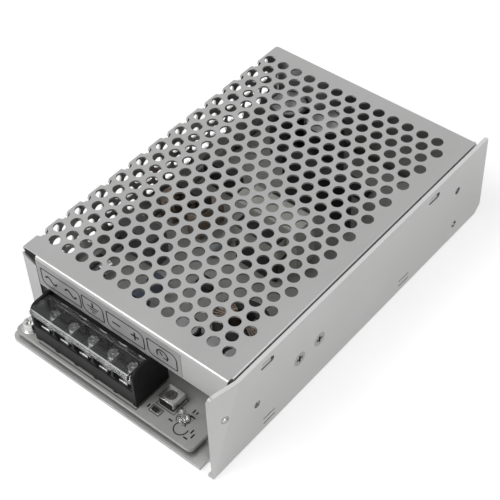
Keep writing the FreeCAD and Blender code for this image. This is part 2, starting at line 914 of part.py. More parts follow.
def perforated_plate(name, outer, centres, thickness):
    """Flat sheet inside an outline, with a six-sided hole at each centre."""
    wires = [Part.makePolygon(outer + outer[:1])]
    for centre in centres:
        corners = hexagon(centre, thickness)
        wires.append(Part.makePolygon(corners + corners[:1]))
    face = Part.makeFace(wires, "Part::FaceMakerBullseye")
    item = doc.addObject("Part::Feature", name)
    item.Shape = face.extrude(thickness)
    return item


def hexagon(centre, thickness):
    """Six corners across a thickness, two of them ahead of and behind the centre."""
    upright = FreeCAD.Vector(0, 1, 0)
    across = upright.cross(FreeCAD.Vector(thickness).normalize())
    corners = []
    for index in range(6):
        turn = math.radians(60 * index + 30)
        reach = across * math.cos(turn) + upright * math.sin(turn)
        corners.append(centre + reach * PERFORATION["hole_radius"])
    return corners


def hole_rows(first, shift, columns, rows):
    """Staggered centres leftward from the first: odd rows move by the shift."""
    for row in rows:
        start = first + (shift if row % 2 else 0)
        height = PERFORATION["hole_front_margin"] + row * PERFORATION["hole_row_pitch"]
        for column in range(columns):
            yield start - column * PERFORATION["hole_pitch"], height


def sheet_lengths():
    """Rows of holes and the front and rear edge of each length of the sheet."""
    share = 2 * (hole_row_count() // (2 * SHEET_LENGTHS))
    starts = [index * share for index in range(SHEET_LENGTHS)] + [hole_row_count()]
    edges = [CASE["flange_front_step"]]
    for row in starts[1:-1]:
        edges.append(PERFORATION["hole_front_margin"] + (row - 0.5) * PERFORATION["hole_row_pitch"])
    edges.append(cover_length() - CASE["cover_bend"])
    for index in range(SHEET_LENGTHS):
        yield range(starts[index], starts[index + 1]), edges[index], edges[index + 1]


def top_plates():
    """The perforated top, measured from the cover's front right corner."""
    bend = CASE["cover_bend"]
    edge = -CASE["case_width"] / 2 - cover_right_edge()
    right, left = -bend, edge + bend
    pitch, columns = PERFORATION["hole_pitch"], hole_column_count()
    thickness = FreeCAD.Vector(0, 0, CASE["cover_gauge"])
    bend_hole = edge + PERFORATION["hole_bend_inset"]
    plates = []
    for index, (rows, front, rear) in enumerate(sheet_lengths()):
        outer = [FreeCAD.Vector(right, rear, 0), FreeCAD.Vector(right, front, 0)]
        outer.append(FreeCAD.Vector(left, front, 0))
        for x, y in hole_rows(bend_hole, 0, 1, rows[::2]):
            outer += bend_notch(left, x, y)
        outer.append(FreeCAD.Vector(left, rear, 0))
        spots = hole_rows(bend_hole + columns * pitch, -pitch / 2, columns, rows)
        centres = [FreeCAD.Vector(x, y, 0) for x, y in spots]
        item = perforated_plate(f"top_plate_{index}", outer, centres, thickness)
        place(item, "cover_right", "cover_front", "case_height - cover_gauge")
        plates.append(item)
    return plates


def bend_notch(edge, x, y):
    """The part of a hole at the bend that lies inside the edge of the top."""
    radius = PERFORATION["hole_radius"]
    flat = radius * math.cos(math.radians(30))
    half = radius - (edge - x) * math.tan(math.radians(30))
    return [
        FreeCAD.Vector(edge, y - half, 0), FreeCAD.Vector(x + flat, y - radius / 2, 0),
        FreeCAD.Vector(x + flat, y + radius / 2, 0), FreeCAD.Vector(edge, y + half, 0),
    ]


def side_plates():
    """The perforated left side, measured from the cover's top front left corner."""
    top = -PERFORATION["side_window_drop"]
    low = PERFORATION["side_window_low"] - CASE["case_height"]
    pitch = PERFORATION["hole_pitch"]
    thickness = FreeCAD.Vector(CASE["cover_gauge"], 0, 0)
    first = -PERFORATION["side_hole_drop"] - pitch / 2
    plates = []
    for index, (rows, front, rear) in enumerate(sheet_lengths()):
        outer = [
            FreeCAD.Vector(0, front, low), FreeCAD.Vector(0, rear, low),
            FreeCAD.Vector(0, rear, top), FreeCAD.Vector(0, front, top),
        ]
        spots = hole_rows(first, pitch / 2, side_column_count(), rows)
        centres = [FreeCAD.Vector(0, y, z) for z, y in spots]
        item = perforated_plate(f"side_plate_{index}", outer, centres, thickness)
        place(item, "-half_width", "cover_front", "case_height")
        plates.append(item)
    return plates


def lock_bosses(part):
    """Raised bosses on the right flange that sit in the wall's slots."""
    drawing = sketch(part, "lock_bosses", "YZ_Plane", "cover_right")
    for y in lock_places():
        obround(
            drawing, y, "case_height - lock_slot_drop",
            "lock_slot_length - 2 * lock_boss_gap", "lock_slot_width - 2 * lock_boss_gap",
        )
    pad(part, drawing, "lock_boss_height")


def terminal_label():
    """Thin sticker on the front flap."""
    low = "case_height - flap_height + label_margin"
    sticker = box(
        "label_sheet",
        ("label_left", "label_left + label_width"),
        ("cover_front - label_thickness", "cover_front"),
        (low, f"{low} + label_height"),
    )
    return node(sticker, "terminal_label")


def insulation_sheet():
    """Thin sheet between the floor and the board."""
    blank = box(
        "sheet_blank",
        ("-half_width + sheet_side_inset", "half_width - sheet_side_inset"),
        ("front + sheet_front_step", "base_rear - 2 * base_gauge"),
        ("base_gauge", "base_gauge + sheet_thickness"),
    )
    cuts = []
    for index, (x, y) in enumerate(board_screw_places()[1:]):
        side = "2 * boss_radius + 2"
        cuts.append(centred(f"boss_hole_{index}", x, y, "0", side, side, "board_top"))
    for x, y in floor_hole_places():
        side = "2 * floor_hole_radius + 2"
        cuts.append(centred(f"stud_hole_{len(cuts)}", x, y, "0", side, side, "board_top"))
    return node(cut("sheet", blank, *cuts), "insulation_sheet")


def circuit_board():
    """Board with a narrow front tongue and a wide rear."""
    part = body("board")
    drawing = sketch(part, "board_outline", "XY_Plane", "board_bottom")
    outline(drawing, [
        ("board_ear_left", "front + board_front_step"),
        ("board_right", "front + board_front_step"),
        ("board_right", "front + board_wide_step"),
        ("board_wide_right", "front + board_wide_step"),
        ("board_wide_right", "half_length - board_rear_step"),
        ("board_left", "half_length - board_rear_step"),
        ("board_left", "cover_front + cover_gauge"),
        ("board_ear_left", "cover_front - cover_gauge"),
    ])
    plate = pad(part, drawing, "board_thickness")
    front = -CASE["case_length"] / 2 + BOARD["board_front_step"]
    half_width = CASE["case_width"] / 2
    round_edges(
        part, plate, "board_corner",
        lambda end: near(end.y, front) and near(end.x, BOARD["board_ear_inset"] - half_width),
        lambda end: near(end.y, front) and near(end.x, half_width - BOARD["board_tongue_inset"]),
    )
    holes = sketch(part, "board_holes", "XY_Plane", "board_top")
    for x, y in board_screw_places():
        circle(holes, x, y, "board_hole_radius")
    pocket(part, holes, "board_thickness")
    return node(part[0], "circuit_board")


def cross_recess(name, x, y, z):
    """Two crossed bars that cut a recess downward from z."""
    low = f"{z} - cross_depth"
    return (
        box(
            name + "_across",
            (f"{x} - cross_length / 2", f"{x} + cross_length / 2"),
            (f"{y} - cross_width / 2", f"{y} + cross_width / 2"),
            (low, z),
        ),
        box(
            name + "_along",
            (f"{x} - cross_width / 2", f"{x} + cross_width / 2"),
            (f"{y} - cross_length / 2", f"{y} + cross_length / 2"),
            (low, z),
        ),
    )


def pan_screw(name, x, y, seat, length):
    """Pan head screw standing on its seat."""
    shank = rod(name + "_shank", (x, y, f"{seat} - ({length})"), "shank_radius", length)
    head = cone(
        name + "_head", (x, y, seat), "pan_head_radius", "0.8 * pan_head_radius", "pan_head_height"
    )
    top = f"{seat} + pan_head_height"
    return cut(name, fuse(name + "_blank", shank, head), *cross_recess(name, x, y, top))


def ring(name, x, y, z, outer, inner, height):
    """Flat ring standing on z."""
    disc = rod(name + "_disc", (x, y, z), outer, height)
    return cut(name, disc, rod(name + "_bore", (x, y, z), inner, height))


def board_fasteners():
    """Screws of the board, the front one on a split and a flat washer."""
    split_seat = "board_top + flat_washer_thickness"
    head_seat = f"{split_seat} + split_washer_thickness"
    front, *rear = board_screw_places()
    screws = [pan_screw("board_screw_0", *front, head_seat, f"{head_seat} - board_screw_foot")]
    for index, (x, y) in enumerate(rear, start=1):
        screws.append(
            pan_screw(f"board_screw_{index}", x, y, "board_top", "board_top - board_screw_foot")
        )
    node(group("board_screw_set", *screws), "board_screws")
    x, y = front
    washer = ring(
        "flat_washer", x, y, "board_top", "flat_washer_radius", "washer_bore", "flat_washer_thickness"
    )
    node(washer, "board_flat_washer")
    whole = ring(
        "split_ring", x, y, split_seat, "split_washer_radius", "washer_bore", "split_washer_thickness"
    )
    gap = box(
        "split_gap",
        (x, f"{x} + 2 * split_washer_radius"),
        (f"{y} - cross_width / 4", f"{y} + cross_width / 4"),
        (split_seat, head_seat),
    )
    node(cut("split_washer", whole, gap), "board_split_washer")


def cell_centre(index):
    """X of one terminal cell."""
    return f"block_x + block_wall + {index + 0.5} * cell_pitch"


def terminal_block():
    """Moulding with end walls, dividers, shelf, wells and hinge bores."""
    part = body("block")
    profile = sketch(part, "block_profile", "YZ_Plane", "block_x")
    outline(profile, [
        ("block_front", "board_top"),
        ("block_rear", "board_top"),
        ("block_rear", "board_top + block_back"),
        ("cell_rear", "board_top + block_end"),
        ("block_front", "board_top + block_end"),
    ])
    blank = pad(part, profile, "block_right - block_x")
    front = TERMINALS["block_front_step"] - CASE["case_length"] / 2
    top = CASE["base_gauge"] + BOARD["board_lift"] + BOARD["board_thickness"] + TERMINALS["block_end"]
    round_edges(
        part, blank, "block_end_corner", lambda end: near(end.y, front) and near(end.z, top)
    )
    inner = ("block_x + block_wall", "block_right - block_wall")
    step = sketch(part, "lid_step", "YZ_Plane", inner[0])
    outline(step, [
        ("block_front - block_wall", "shelf_top"),
        ("block_front + divider_step", "shelf_top"),
        ("block_front + divider_step", "board_top + block_divider"),
        ("cell_rear", "board_top + block_divider"),
        ("cell_rear", "board_top + block_back"),
        ("block_rear + block_wall", "board_top + block_back"),
        ("block_rear + block_wall", "board_top + 2 * block_end"),
        ("block_front - block_wall", "board_top + 2 * block_end"),
    ])
    pocket(part, step, f"{inner[1]} - ({inner[0]})", along=True)

    cell = sketch(part, "cell", "XZ_Plane", "-block_front")
    middle = cell_centre(0)
    half = "(cell_pitch - block_wall) / 2"
    left, right = f"{middle} - {half}", f"{middle} + {half}"
    outline(cell, [
        (f"{left} + cell_corner", "shelf_top"),
        (f"{right} - cell_corner", "shelf_top"),
        (right, "shelf_top + cell_corner"),
        (right, "board_top + 2 * block_end"),
        (left, "board_top + 2 * block_end"),
        (left, "shelf_top + cell_corner"),
    ])
    opening = pocket(part, cell, "cell_depth")
    repeat(part, opening, "X_Axis", "cell_pitch", "cell_count")
    well = sketch(part, "well", "XY_Plane", "shelf_top")
    rectangle(
        well,
        (f"{middle} - well_half", f"{middle} + well_half"),
        ("terminal_screw_y - well_half", "terminal_screw_y + well_half"),
    )
    repeat(part, pocket(part, well, "block_shelf - well_floor"), "X_Axis", "cell_pitch", "cell_count")
    arch = sketch(part, "foot_arch", "XZ_Plane", "-block_front")
    half = "(cell_pitch - foot_arch_gap) / 2"
    rectangle(
        arch, (f"{middle} - {half}", f"{middle} + {half}"), ("board_top", "board_top + foot_arch_height")
    )
    repeat(part, pocket(part, arch, "foot_arch_depth"), "X_Axis", "cell_pitch", "cell_count")

    bores = sketch(part, "hinge_bores", "YZ_Plane", f"{inner[0]} - hinge_bore_depth")
    circle(bores, "hinge_y", "hinge_z", "hinge_pin + hinge_bore_gap")
    length = f"{inner[1]} - ({inner[0]}) + 2 * hinge_bore_depth"
    pocket(part, bores, length, along=True)
    return node(part[0], "terminal_block")


def terminal_cover():
    """Clear lid with a ribbed lip, a hinge barrel and two pins."""
    part = body("lid")
    profile = sketch(part, "lid_profile", "YZ_Plane", "lid_left")
    lip_foot = "lid_top - lid_lip_height"
    rib = "lid_lip_front - lid_rib_relief"
    outline(profile, [
        ("hinge_y", "hinge_z"),
        ("hinge_y", "lid_top"),
        ("lid_lip_front", "lid_top"),
        ("lid_lip_front", "lid_top - lid_rib_height"),
        (rib, "lid_top - lid_rib_height"),
        (rib, "lid_top - 2 * lid_rib_height"),
        ("lid_lip_front", "lid_top - 2 * lid_rib_height"),
        ("lid_lip_front", "lid_top - 3 * lid_rib_height"),
        (rib, "lid_top - 3 * lid_rib_height"),
        (rib, "lid_top - 4 * lid_rib_height"),
        ("lid_lip_front", "lid_top - 4 * lid_rib_height"),
        ("lid_lip_front", lip_foot),
        ("lid_lip_back", lip_foot),
        ("lid_lip_back", "hinge_z"),
    ])
    pad(part, profile, "lid_right - lid_left")
    barrel = sketch(part, "barrel", "YZ_Plane", "lid_left")
    circle(barrel, "hinge_y", "hinge_z", "hinge_barrel")
    pad(part, barrel, "lid_right - lid_left")
    pins = sketch(part, "pins", "YZ_Plane", "lid_left - hinge_pin_length")
    circle(pins, "hinge_y", "hinge_z", "hinge_pin")
    pad(part, pins, "lid_right - lid_left + 2 * hinge_pin_length")
    return node(part[0], "terminal_cover")


def terminal(index):
    """Plate, clamp washer and screw of one cell."""
    x = cell_centre(index)
    y = "terminal_screw_y"
    half = "(cell_pitch - block_wall) / 2 - plate_gap"
    front = "block_front + plate_front_step"
    plate_rear = "cell_rear - plate_gap"
    body_plate = box(
        f"plate_{index}",
        (f"{x} - ({half}) + cell_corner", f"{x} + {half} - cell_corner"),
        (front, plate_rear),
        ("shelf_top", "plate_top"),
    )
    tongue = centred(
        f"tongue_{index}", x, f"{front} - plate_tongue / 2", "shelf_top",
        "plate_tongue_width", "plate_tongue", "plate_thickness + plate_tongue_rise",
    )
    nub = centred(
        f"nub_{index}", f"{x} + plate_nub_step", f"{front} + plate_nub_length / 2", "plate_top",
        "plate_nub_width", "plate_nub_length", "plate_nub_width",
    )
    thread = rod(f"plate_thread_{index}", (x, y, "shelf_top"), "thread_radius", "plate_thickness")
    blank = fuse(f"plate_blank_{index}", body_plate, tongue, nub)
    node(cut(f"terminal_plate_{index}", blank, thread), f"terminal_plate_{index + 1}")

    square = centred(f"clamp_{index}", x, y, "plate_top", "clamp_size", "clamp_size", "clamp_thickness")
    hole = rod(f"clamp_hole_{index}", (x, y, "plate_top"), "washer_bore", "clamp_thickness")
    node(cut(f"clamp_washer_{index}", square, hole), f"clamp_washer_{index + 1}")

    seat = "plate_top + clamp_thickness"
    screw = pan_screw(f"terminal_screw_{index}", x, y, seat, "terminal_shank_length")
    node(screw, f"terminal_screw_{index + 1}")


def trimmer():
    """Base, bent metal frame and slotted rotor."""
    x, y = "trimmer_x", "trimmer_y"
    base = centred("trimmer_block", x, y, "board_top", "trimmer_width", "trimmer_depth", "trimmer_height")
    sink = rod(
        "trimmer_seat", (x, y, "trimmer_top - rotor_sink"), "rotor_radius + rotor_gap", "rotor_sink"
    )
    node(cut("trimmer_moulding", base, sink), "trimmer_base")
    outer = "trimmer_width + 2 * trimmer_frame_gap + 2 * trimmer_frame_gauge"
    low = "trimmer_top - trimmer_frame_reach"
    frame = centred(
        "frame_blank", x, y, low, outer, "trimmer_depth",
        "trimmer_frame_reach + trimmer_frame_gauge",
    )
    hollow = centred(
        "frame_hollow", x, y, low, "trimmer_width + 2 * trimmer_frame_gap", "trimmer_depth",
        "trimmer_frame_reach",
    )
    window = rod("frame_window", (x, y, low), "rotor_radius + rotor_gap", "2 * trimmer_frame_reach")
    node(cut("frame_sheet", frame, hollow, window), "trimmer_frame")
    knob = rod("rotor_disc", (x, y, "trimmer_top - rotor_sink"), "rotor_radius", "rotor_height")
    top = "trimmer_top - rotor_sink + rotor_height"
    span = "2 * (rotor_radius - rotor_slot_width)"
    low = f"{top} - rotor_slot_depth"
    slots = (
        centred("rotor_slot_a", x, y, low, span, "rotor_slot_width", "rotor_slot_depth"),
        centred("rotor_slot_b", x, y, low, "rotor_slot_width", span, "rotor_slot_depth"),
    )
    node(cut("rotor", knob, *slots), "trimmer_rotor")


def led_indicator():
    """Clear round lamp with a flange and a dome."""
    flange = rod("led_flange", ("led_x", "led_y", "board_top"), "led_flange_radius", "led_flange_height")
    stem = rod("led_stem", ("led_x", "led_y", "board_top"), "led_radius", "led_body")
    dome = cone(
        "led_dome", ("led_x", "led_y", "board_top + led_body"), "led_radius", "led_tip_radius", "led_tip"
    )
    return node(fuse("led", flange, stem, dome), "led_indicator")


def chip_resistor():
    """Small surface resistor beside the trimmer."""
    chip = centred(
        "chip", "chip_x", "front + chip_front", "board_top", "chip_length", "chip_width", "chip_height"
    )
    return node(chip, "chip_resistor")


def wall_devices():
    """Output rectifiers clamped to the right wall, with pads and screws."""
    screws = []
    pad_face = "wall_inner - pad_thickness"
    low = "device_height + device_hole_drop - device_body"
    for index, y in enumerate(device_places()):
        sheet_pad = box(
            f"pad_{index}",
            (pad_face, "wall_inner"),
            (f"{y} - device_width / 2 - pad_margin / 4", f"{y} + device_width / 2 + pad_margin / 4"),
            (f"{low} - pad_margin", f"{low} + device_body + pad_margin"),
        )
        hole = rod(
            f"pad_hole_{index}", (pad_face, y, "device_height"), "side_hole_radius", "pad_thickness", "x"
        )
        node(cut(f"insulating_pad_{index}", sheet_pad, hole), f"insulating_pad_{index + 1}")
        case = box(
            f"device_{index}",
            (f"{pad_face} - device_thickness", pad_face),
            (f"{y} - device_width / 2", f"{y} + device_width / 2"),
            (low, f"{low} + device_body"),
        )
        leads = []
        for lead in (-1, 0, 1):
            leads.append(centred(
                f"lead_{index}_{lead + 1}", f"{pad_face} - lead_inset", f"{y} + {lead} * lead_pitch",
                "board_top", "lead_width", "lead_width", f"{low} - (board_top)",
            ))
        thread = rod(
            f"device_thread_{index}", (f"{pad_face} - device_thickness", y, "device_height"),
            "shank_radius + screw_clearance", "device_thickness", "x",
        )
        device = cut(f"rectifier_{index}", fuse(f"device_whole_{index}", case, *leads), thread)
        node(device, f"output_rectifier_{index + 1}")
        screws.append(flush_screw(f"wall_screw_{index}", y, "device_height", 1))
    node(group("wall_screw_set", *screws), "wall_screws")


def flush_screw(name, y, z, side):
    """Countersunk screw in the right wall, or in the left side where side is -1."""
    turn, narrow = "x", "countersink_radius - countersink_depth"
    face = "half_width" if side > 0 else "-half_width"
    length = "base_gauge + pad_thickness + device_thickness - cross_depth"
    if side > 0:
        shank = rod(name + "_shank", (f"{face} - ({length})", y, z), "shank_radius", length, turn)
        start = (f"{face} - countersink_depth", y, z)
        head = cone(name + "_head", start, narrow, "countersink_radius", "countersink_depth", turn)
        slot_x = (f"{face} - cross_depth", face)
    else:
        length = "cover_gauge + 2 * base_gauge"
        shank = rod(name + "_shank", (face, y, z), "shank_radius", length, turn)
        head = cone(name + "_head", (face, y, z), "countersink_radius", narrow, "countersink_depth", turn)
        slot_x = (face, f"{face} + cross_depth")
    half_width, half_length = "cross_width / 2", "cross_length / 2"
    across = box(
        name + "_across", slot_x,
        (f"{y} - {half_length}", f"{y} + {half_length}"), (f"{z} - {half_width}", f"{z} + {half_width}"),
    )
    along = box(
        name + "_along", slot_x,
        (f"{y} - {half_width}", f"{y} + {half_width}"), (f"{z} - {half_length}", f"{z} + {half_length}"),
    )
    return cut(name, fuse(name + "_blank", shank, head), across, along)


def cover_fasteners():
    """Countersunk screws of the cover's left side."""
    screws = []
    for index, y in enumerate(cover_screw_places()):
        screws.append(flush_screw(f"cover_screw_{index}", y, "cover_screw_height", -1))
    node(group("cover_screw_set", *screws), "cover_screws")


def standing_can(name, x, y, radius, height):
    """Round can standing on the board."""
    return rod(name, (x, y, "board_top"), radius, height)


def transformer():
    """Core of two outer legs and yokes, bobbin and winding."""
    x, y = "transformer_x", "transformer_y"
    core = centred("core_blank", x, y, "core_base", "core_width", "core_depth", "core_height - core_seat")
    window_height = "core_height - core_seat - 2 * core_leg"
    windows = []
    post = "bobbin_post_width"
    reach = f"(core_width - 2 * core_leg - {post}) / 2"
    for side, name in ((-1, "left"), (1, "right")):
        middle = f"{x} + {side} * ({post} + {reach}) / 2"
        windows.append(centred(
            f"core_window_{name}", middle, y, "core_base + core_leg", reach, "core_depth", window_height,
        ))
    node(cut("core", core, *windows), "transformer_core")
    fit = "bobbin_wall"
    low = "core_base + core_leg"
    flange = "bobbin_flange"
    width = f"{post} + 2 * ({reach}) - {fit}"
    spool = fuse(
        "bobbin_solid",
        centred("bobbin_low", x, y, low, width, "bobbin_depth", flange),
        centred("bobbin_high", x, y, f"{low} + {window_height} - {flange}", width, "bobbin_depth", flange),
        centred("bobbin_tube", x, y, low, f"{post} + 2 * {fit}", "core_depth + 2 * bobbin_wall",
                window_height),
        centred("bobbin_foot_front", x, f"{y} - bobbin_depth / 2 + {fit}", "board_top",
                width, f"2 * {fit}", "core_seat + core_leg + bobbin_flange"),
        centred("bobbin_foot_rear", x, f"{y} + bobbin_depth / 2 - {fit}", "board_top",
                width, f"2 * {fit}", "core_seat + core_leg + bobbin_flange"),
    )
    bore = centred("bobbin_bore", x, y, "board_top", post, "core_depth", "2 * core_height")
    node(cut("bobbin", spool, bore), "transformer_bobbin")
    coil = centred(
        "coil_blank", x, y, f"{low} + {flange}", width, "coil_depth", f"{window_height} - 2 * {flange}"
    )
    inner = centred(
        "coil_bore", x, y, low, f"{post} + 2 * {fit}", "core_depth + 2 * bobbin_wall", "core_height"
    )
    node(cut("coil", coil, inner), "transformer_winding")


def power_stage():
    """Bulk capacitors, heat sink with its switching transistor, and snubber."""
    for index in range(2):
        can = standing_can(
            f"bulk_{index}", f"bulk_x + {index} * bulk_pitch", "bulk_y", "bulk_radius", "bulk_height"
        )
        node(can, f"bulk_capacitor_{index + 1}")
    sink = fuse(
        "sink",
        centred("sink_fin", "sink_x", "sink_y", "board_top", "sink_length", "sink_gauge", "sink_height"),
        centred("sink_flange", "sink_x", "sink_y + sink_foot / 2 - sink_gauge / 2",
                "board_top + sink_height - sink_gauge", "sink_length", "sink_foot", "sink_gauge"),
    )
    face = "sink_y + sink_gauge / 2"
    thread = rod(
        "sink_thread", ("sink_x", "sink_y - sink_gauge / 2", "board_top + sink_device_height"),
        "shank_radius + screw_clearance", "sink_gauge", "y",
    )
    node(cut("sink_plate", sink, thread), "heat_sink")
    low = "board_top + sink_device_height + device_hole_drop - device_body"
    rear = f"{face} + device_thickness"
    case = box(
        "switch_case",
        ("sink_x - device_width / 2", "sink_x + device_width / 2"), (face, rear),
        (low, f"{low} + device_body"),
    )
    leads = []
    for lead in (-1, 0, 1):
        leads.append(centred(
            f"switch_lead_{lead + 1}", f"sink_x + {lead} * lead_pitch", f"{face} + lead_inset",
            "board_top", "lead_width", "lead_width", "sink_device_height + device_hole_drop - device_body",
        ))
    hole = rod(
        "switch_hole", ("sink_x", face, "board_top + sink_device_height"), "board_hole_radius",
        "device_thickness", "y",
    )
    switch = cut("switch", fuse("switch_whole", case, *leads), hole)
    node(switch, "switching_transistor")
    resistor = rod(
        "snubber", ("resistor_x", "resistor_y - resistor_length / 2", "board_top + resistor_radius"),
        "resistor_radius", "resistor_length", "y",
    )
    node(resistor, "snubber_resistor")
    for name, stem in (("optocoupler", "opto"), ("controller_chip", "controller")):
        chip = centred(
            stem + "_case", stem + "_x", stem + "_y", "board_top",
            stem + "_length", stem + "_width", stem + "_height",
        )
        node(chip, name)


def output_stage():
    """Output capacitors and the toroidal output choke."""
    for index in range(3):
        can = standing_can(
            f"output_can_{index}", f"output_cap_x + {index} * output_cap_pitch", "output_cap_y",
            "output_cap_radius", "output_cap_height",
        )
        node(can, f"output_capacitor_{index + 1}")
    x, y, lift = "output_choke_x", "output_choke_y", "choke_coil_thickness"
    core = ring(
        "output_core", x, y, f"board_top + {lift}",
        "output_choke_radius", "output_choke_bore", "output_choke_height",
    )
    node(core, "output_choke_core")
    coils = []
    reach = f"output_choke_radius - output_choke_bore + 2 * {lift}"
    middle = "(output_choke_radius + output_choke_bore) / 2"
    for side, name in ((-1, "left"), (1, "right")):
        place_x = f"{x} + {side} * {middle}"
        coils.append(centred(
            f"coil_{name}", place_x, y, "board_top", reach, "choke_coil_width",
            f"output_choke_height + 2 * {lift}",
        ))
    blank = group("coil_blanks", *coils)
    solid = cut("output_coils", blank, ring(
        "output_core_space", x, y, f"board_top + {lift}",
        "output_choke_radius + choke_coil_gap", "output_choke_bore - choke_coil_gap",
        "output_choke_height",
    ))
    node(solid, "output_choke_winding")


def input_stage():
    """Fuse, thermistor, filter capacitors, input choke and bridge."""
    fuse_body = rod(
        "fuse_tube", ("fuse_x", "fuse_y - fuse_length / 2", "board_top + fuse_radius"),
        "fuse_radius", "fuse_length", "y",
    )
    node(fuse_body, "fuse")
    disc = rod(
        "thermistor_disc", ("thermistor_x", "thermistor_y", "board_top + thermistor_radius"),
        "thermistor_radius", "thermistor_thickness", "y",
    )
    node(disc, "thermistor")
    node(centred("xcap_case", "xcap_x", "xcap_y", "board_top", "xcap_length", "xcap_width", "xcap_height"),
         "x_capacitor")
    for index in range(2):
        disc = rod(
            f"ycap_{index}", ("ycap_x", f"ycap_y + {index} * ycap_pitch", "board_top + ycap_radius"),
            "ycap_radius", "ycap_thickness", "y",
        )
        node(disc, f"y_capacitor_{index + 1}")
    x, y = "input_choke_x", "input_choke_y"
    bar, lift = "input_choke_bar", "choke_coil_thickness"
    low = f"board_top + {lift}"
    core = centred("choke_blank", x, y, low, "input_choke_length", bar, "input_choke_height")
    window = centred(
        "choke_window", x, y, f"{low} + {bar}", f"input_choke_length - 2 * {bar}", bar,
        f"input_choke_height - 2 * {bar}",
    )
    node(cut("choke_frame", core, window), "input_choke_core")
    coils = []
    for side, name in ((-1, "left"), (1, "right")):
        centre = f"{x} + {side} * (input_choke_length - {bar}) / 2"
        blank = centred(
            f"choke_coil_{name}", centre, y, "board_top", f"{bar} + 2 * {lift}", "input_choke_width",
            f"input_choke_height - {bar}",
        )
        coils.append(blank)
    space = centred("choke_space", x, y, low, "input_choke_length", bar, "input_choke_height")
    node(cut("choke_coils", group("choke_coil_blanks", *coils), space), "input_choke_winding")
    node(centred("bridge_case", "bridge_x", "bridge_y", "board_top",
                 "bridge_length", "bridge_width", "bridge_height"), "bridge_rectifier")


def build():
    """Make every sub-part."""
    base_chassis()
    terminal_label()
    insulation_sheet()
    circuit_board()
    board_fasteners()
    terminal_block()
    for index in range(int(TERMINALS["cell_count"])):
        terminal(index)
    terminal_cover()
    trimmer()
    led_indicator()
    chip_resistor()
    wall_devices()
    cover_fasteners()
    transformer()
    power_stage()
    output_stage()
    input_stage()
    perforated_cover()


def check():
    """Stop if any object failed or any sub-part is not a sound solid."""
    for item in doc.Objects:
        if "Invalid" in item.State or "Error" in item.State:
            raise RuntimeError(f"{item.Label} failed: {item.State}")
    for item in nodes:
        if item.Shape.isNull() or not item.Shape.isValid() or not item.Shape.Solids:
            raise RuntimeError(f"{item.Label} is not a valid solid")


build()
doc.recompute()
check()
os.makedirs("parts", exist_ok=True)
for item in nodes:
    item.Shape.exportStep(f"parts/{item.Label}.step")
print(len(nodes), "sub-parts")
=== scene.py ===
"""Looks of a mesh case switching power supply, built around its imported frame.

Classes hold their sizes in millimetres. Meshes are made in metres.
"""

from __future__ import annotations

import json
import logging
import math
from dataclasses import dataclass
from enum import Enum
from typing import Iterable, Sequence

import bmesh
import bpy
from mathutils import Matrix, Vector

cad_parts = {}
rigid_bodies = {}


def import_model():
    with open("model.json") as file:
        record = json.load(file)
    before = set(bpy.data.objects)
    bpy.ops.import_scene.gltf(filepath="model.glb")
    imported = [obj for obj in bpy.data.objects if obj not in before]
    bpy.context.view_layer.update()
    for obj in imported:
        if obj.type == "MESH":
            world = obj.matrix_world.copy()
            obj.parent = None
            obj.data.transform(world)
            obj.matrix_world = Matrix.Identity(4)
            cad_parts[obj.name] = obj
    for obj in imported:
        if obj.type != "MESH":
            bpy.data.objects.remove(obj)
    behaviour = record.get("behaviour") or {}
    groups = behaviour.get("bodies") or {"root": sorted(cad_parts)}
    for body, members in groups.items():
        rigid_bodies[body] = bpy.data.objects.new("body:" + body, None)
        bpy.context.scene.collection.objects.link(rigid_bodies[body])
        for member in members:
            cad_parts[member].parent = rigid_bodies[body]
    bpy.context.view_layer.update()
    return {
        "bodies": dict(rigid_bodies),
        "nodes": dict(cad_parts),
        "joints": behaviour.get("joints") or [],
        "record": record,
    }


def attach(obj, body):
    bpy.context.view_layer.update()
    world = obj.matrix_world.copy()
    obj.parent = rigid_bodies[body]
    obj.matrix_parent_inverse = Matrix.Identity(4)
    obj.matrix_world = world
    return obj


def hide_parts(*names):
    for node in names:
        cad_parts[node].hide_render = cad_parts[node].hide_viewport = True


Shape = bmesh.types.BMesh
Point = tuple[float, float]
Triple = tuple[float, float, float]

LOG = logging.getLogger("power_supply")
MM = 0.001
CASE_BODY = "case"
COPY_WELD = 0.001 * MM
CUT_SLACK = 0.002 * MM
SHEET_WELD = 0.01 * MM
POLE_RADIUS = 1e-6
SHARP_METAL = 30.0
SHARP_PLASTIC = 35.0
SHARP_TURNED = 40.0
SHARP_WIRE = 60.0


class Axis(Enum):
    """A direction of the frame, such as the one that a sheet was rolled in."""

    X = 0
    Y = 1
    Z = 2


